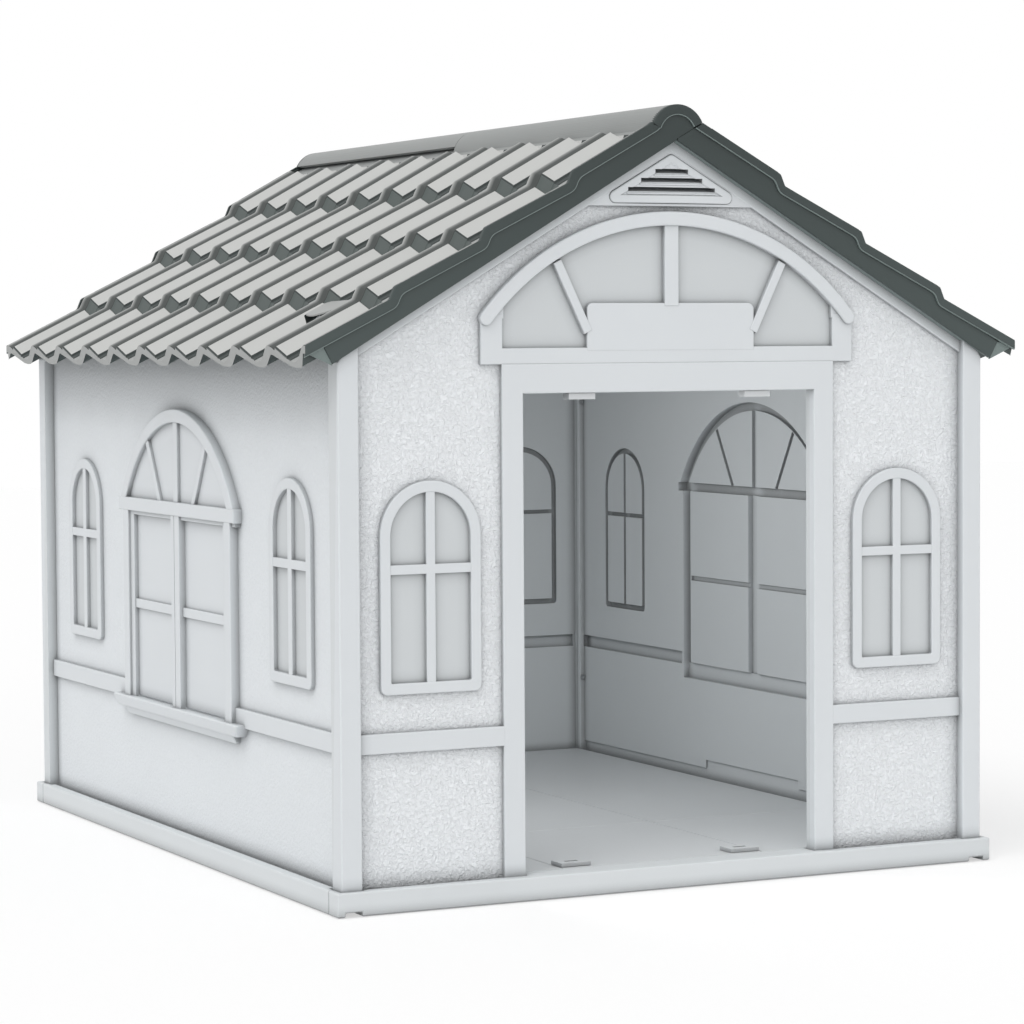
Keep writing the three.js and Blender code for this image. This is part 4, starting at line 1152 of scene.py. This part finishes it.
for side, degrees in (("left", 0), ("right", 180)):
    item = roofHalf()
    item.data.transform(turned(0, 0, degrees))
    for i, key in enumerate(roofKeys):
        item.data.materials[i] = materials[side + "Bead" if key == "bead" else key]
    for face in item.data.polygons:
        face.use_smooth = True
    item.data.set_sharp_from_angle(angle=math.radians(28))
    tiePiece(item, side + "Roof", "roof", "roof_" + side)
    print("stage: " + side + " roof")


# studio

studio = {
    "world": 0.62, "floorSize": 14, "floorDrop": 0.6, "floorShade": 0.9, "floorGlow": 1.12, "floorShare": 0.5,
    # strength, spread in degrees, direction that the light comes from
    "suns": {"keyLight": (1.05, 35, (-0.8, -0.35, 1.5)), "frontLight": (0.5, 60, (-0.35, -1.3, 0.45))},
    # strength, sides, place, direction that the light comes from
    "panels": {"cabinLight": (0.26, (0.4, 0.5), (0, 0, 0.5), None),
               "doorGlow": (0.72, (0.14, 0.14), (-0.13, -0.13, 0.41), (-0.42, -0.12, 0.55))},
}


def seenDirectly(nodes, links):
    # 1 for what the camera sees, also by a reflection or through glass
    rays = nodes.new("ShaderNodeLightPath").outputs
    seen = rays["Is Camera Ray"]
    for name in ("Is Glossy Ray", "Is Transmission Ray"):
        either = nodes.new("ShaderNodeMath")
        either.operation = "MAXIMUM"
        links.new(seen, either.inputs[0])
        links.new(rays[name], either.inputs[1])
        seen = either.outputs["Value"]
    return seen


def mixed(nodes, links, share, first, second, output):
    mix = nodes.new("ShaderNodeMixShader")
    links.new(share, mix.inputs["Fac"])
    links.new(first, mix.inputs[1])
    links.new(second, mix.inputs[2])
    links.new(mix.outputs["Shader"], nodes[output].inputs["Surface"])


def addWorld():
    world = bpy.data.worlds.new("studio")
    bpy.context.scene.world = world
    world.use_nodes = True
    nodes, links = world.node_tree.nodes, world.node_tree.links
    light, shown = nodes["Background"], nodes.new("ShaderNodeBackground")
    for item, strength in ((light, studio["world"]), (shown, 1)):
        item.inputs["Color"].default_value = (1, 1, 1, 1)
        item.inputs["Strength"].default_value = strength
    mixed(nodes, links, seenDirectly(nodes, links), light.outputs["Background"], shown.outputs["Background"],
          "World Output")


def addLamp(name, kind, energy, towards):
    data = bpy.data.lights.new(name, kind)
    data.energy = energy
    item = bpy.data.objects.new(name, data)
    if towards:
        item.rotation_euler = Vector(towards).to_track_quat("Z", "Y").to_euler()
    bpy.context.scene.collection.objects.link(item)
    return item


def addLamps():
    for name, (energy, spread, towards) in studio["suns"].items():
        addLamp(name, "SUN", energy, towards).data.angle = math.radians(spread)
    for name, (energy, sides, place, towards) in studio["panels"].items():
        item = addLamp(name, "AREA", energy, towards)
        item.data.shape = "RECTANGLE"
        item.data.size, item.data.size_y = sides
        item.location = place
        item.visible_camera = False


def addFloor():
    half, z, shade = studio["floorSize"] / 2 * 1000, -studio["floorDrop"], studio["floorShade"]
    item = rawObject("studioFloor", [(-half, -half, z), (half, -half, z), (half, half, z), (-half, half, z)],
                     [(0, 1, 2, 3)])
    material = bpy.data.materials.new("paleFloor")
    material.use_nodes = True
    nodes, links = material.node_tree.nodes, material.node_tree.links
    shader = nodes["Principled BSDF"]
    shader.inputs["Base Color"].default_value = (shade, shade, shade, 1)
    shader.inputs["Roughness"].default_value = 0.9
    shader.inputs["Specular IOR Level"].default_value = 0
    white = nodes.new("ShaderNodeEmission")
    white.inputs["Strength"].default_value = studio["floorGlow"]
    share = nodes.new("ShaderNodeMath")
    share.operation = "MULTIPLY"
    share.inputs[1].default_value = studio["floorShare"]
    links.new(seenDirectly(nodes, links), share.inputs[0])
    mixed(nodes, links, share.outputs["Value"], shader.outputs["BSDF"], white.outputs["Emission"],
          "Material Output")
    item.data.materials.append(material)


bpy.context.scene.view_settings.view_transform = "Standard"
addWorld()
addLamps()
addFloor()
print("stage: studio")
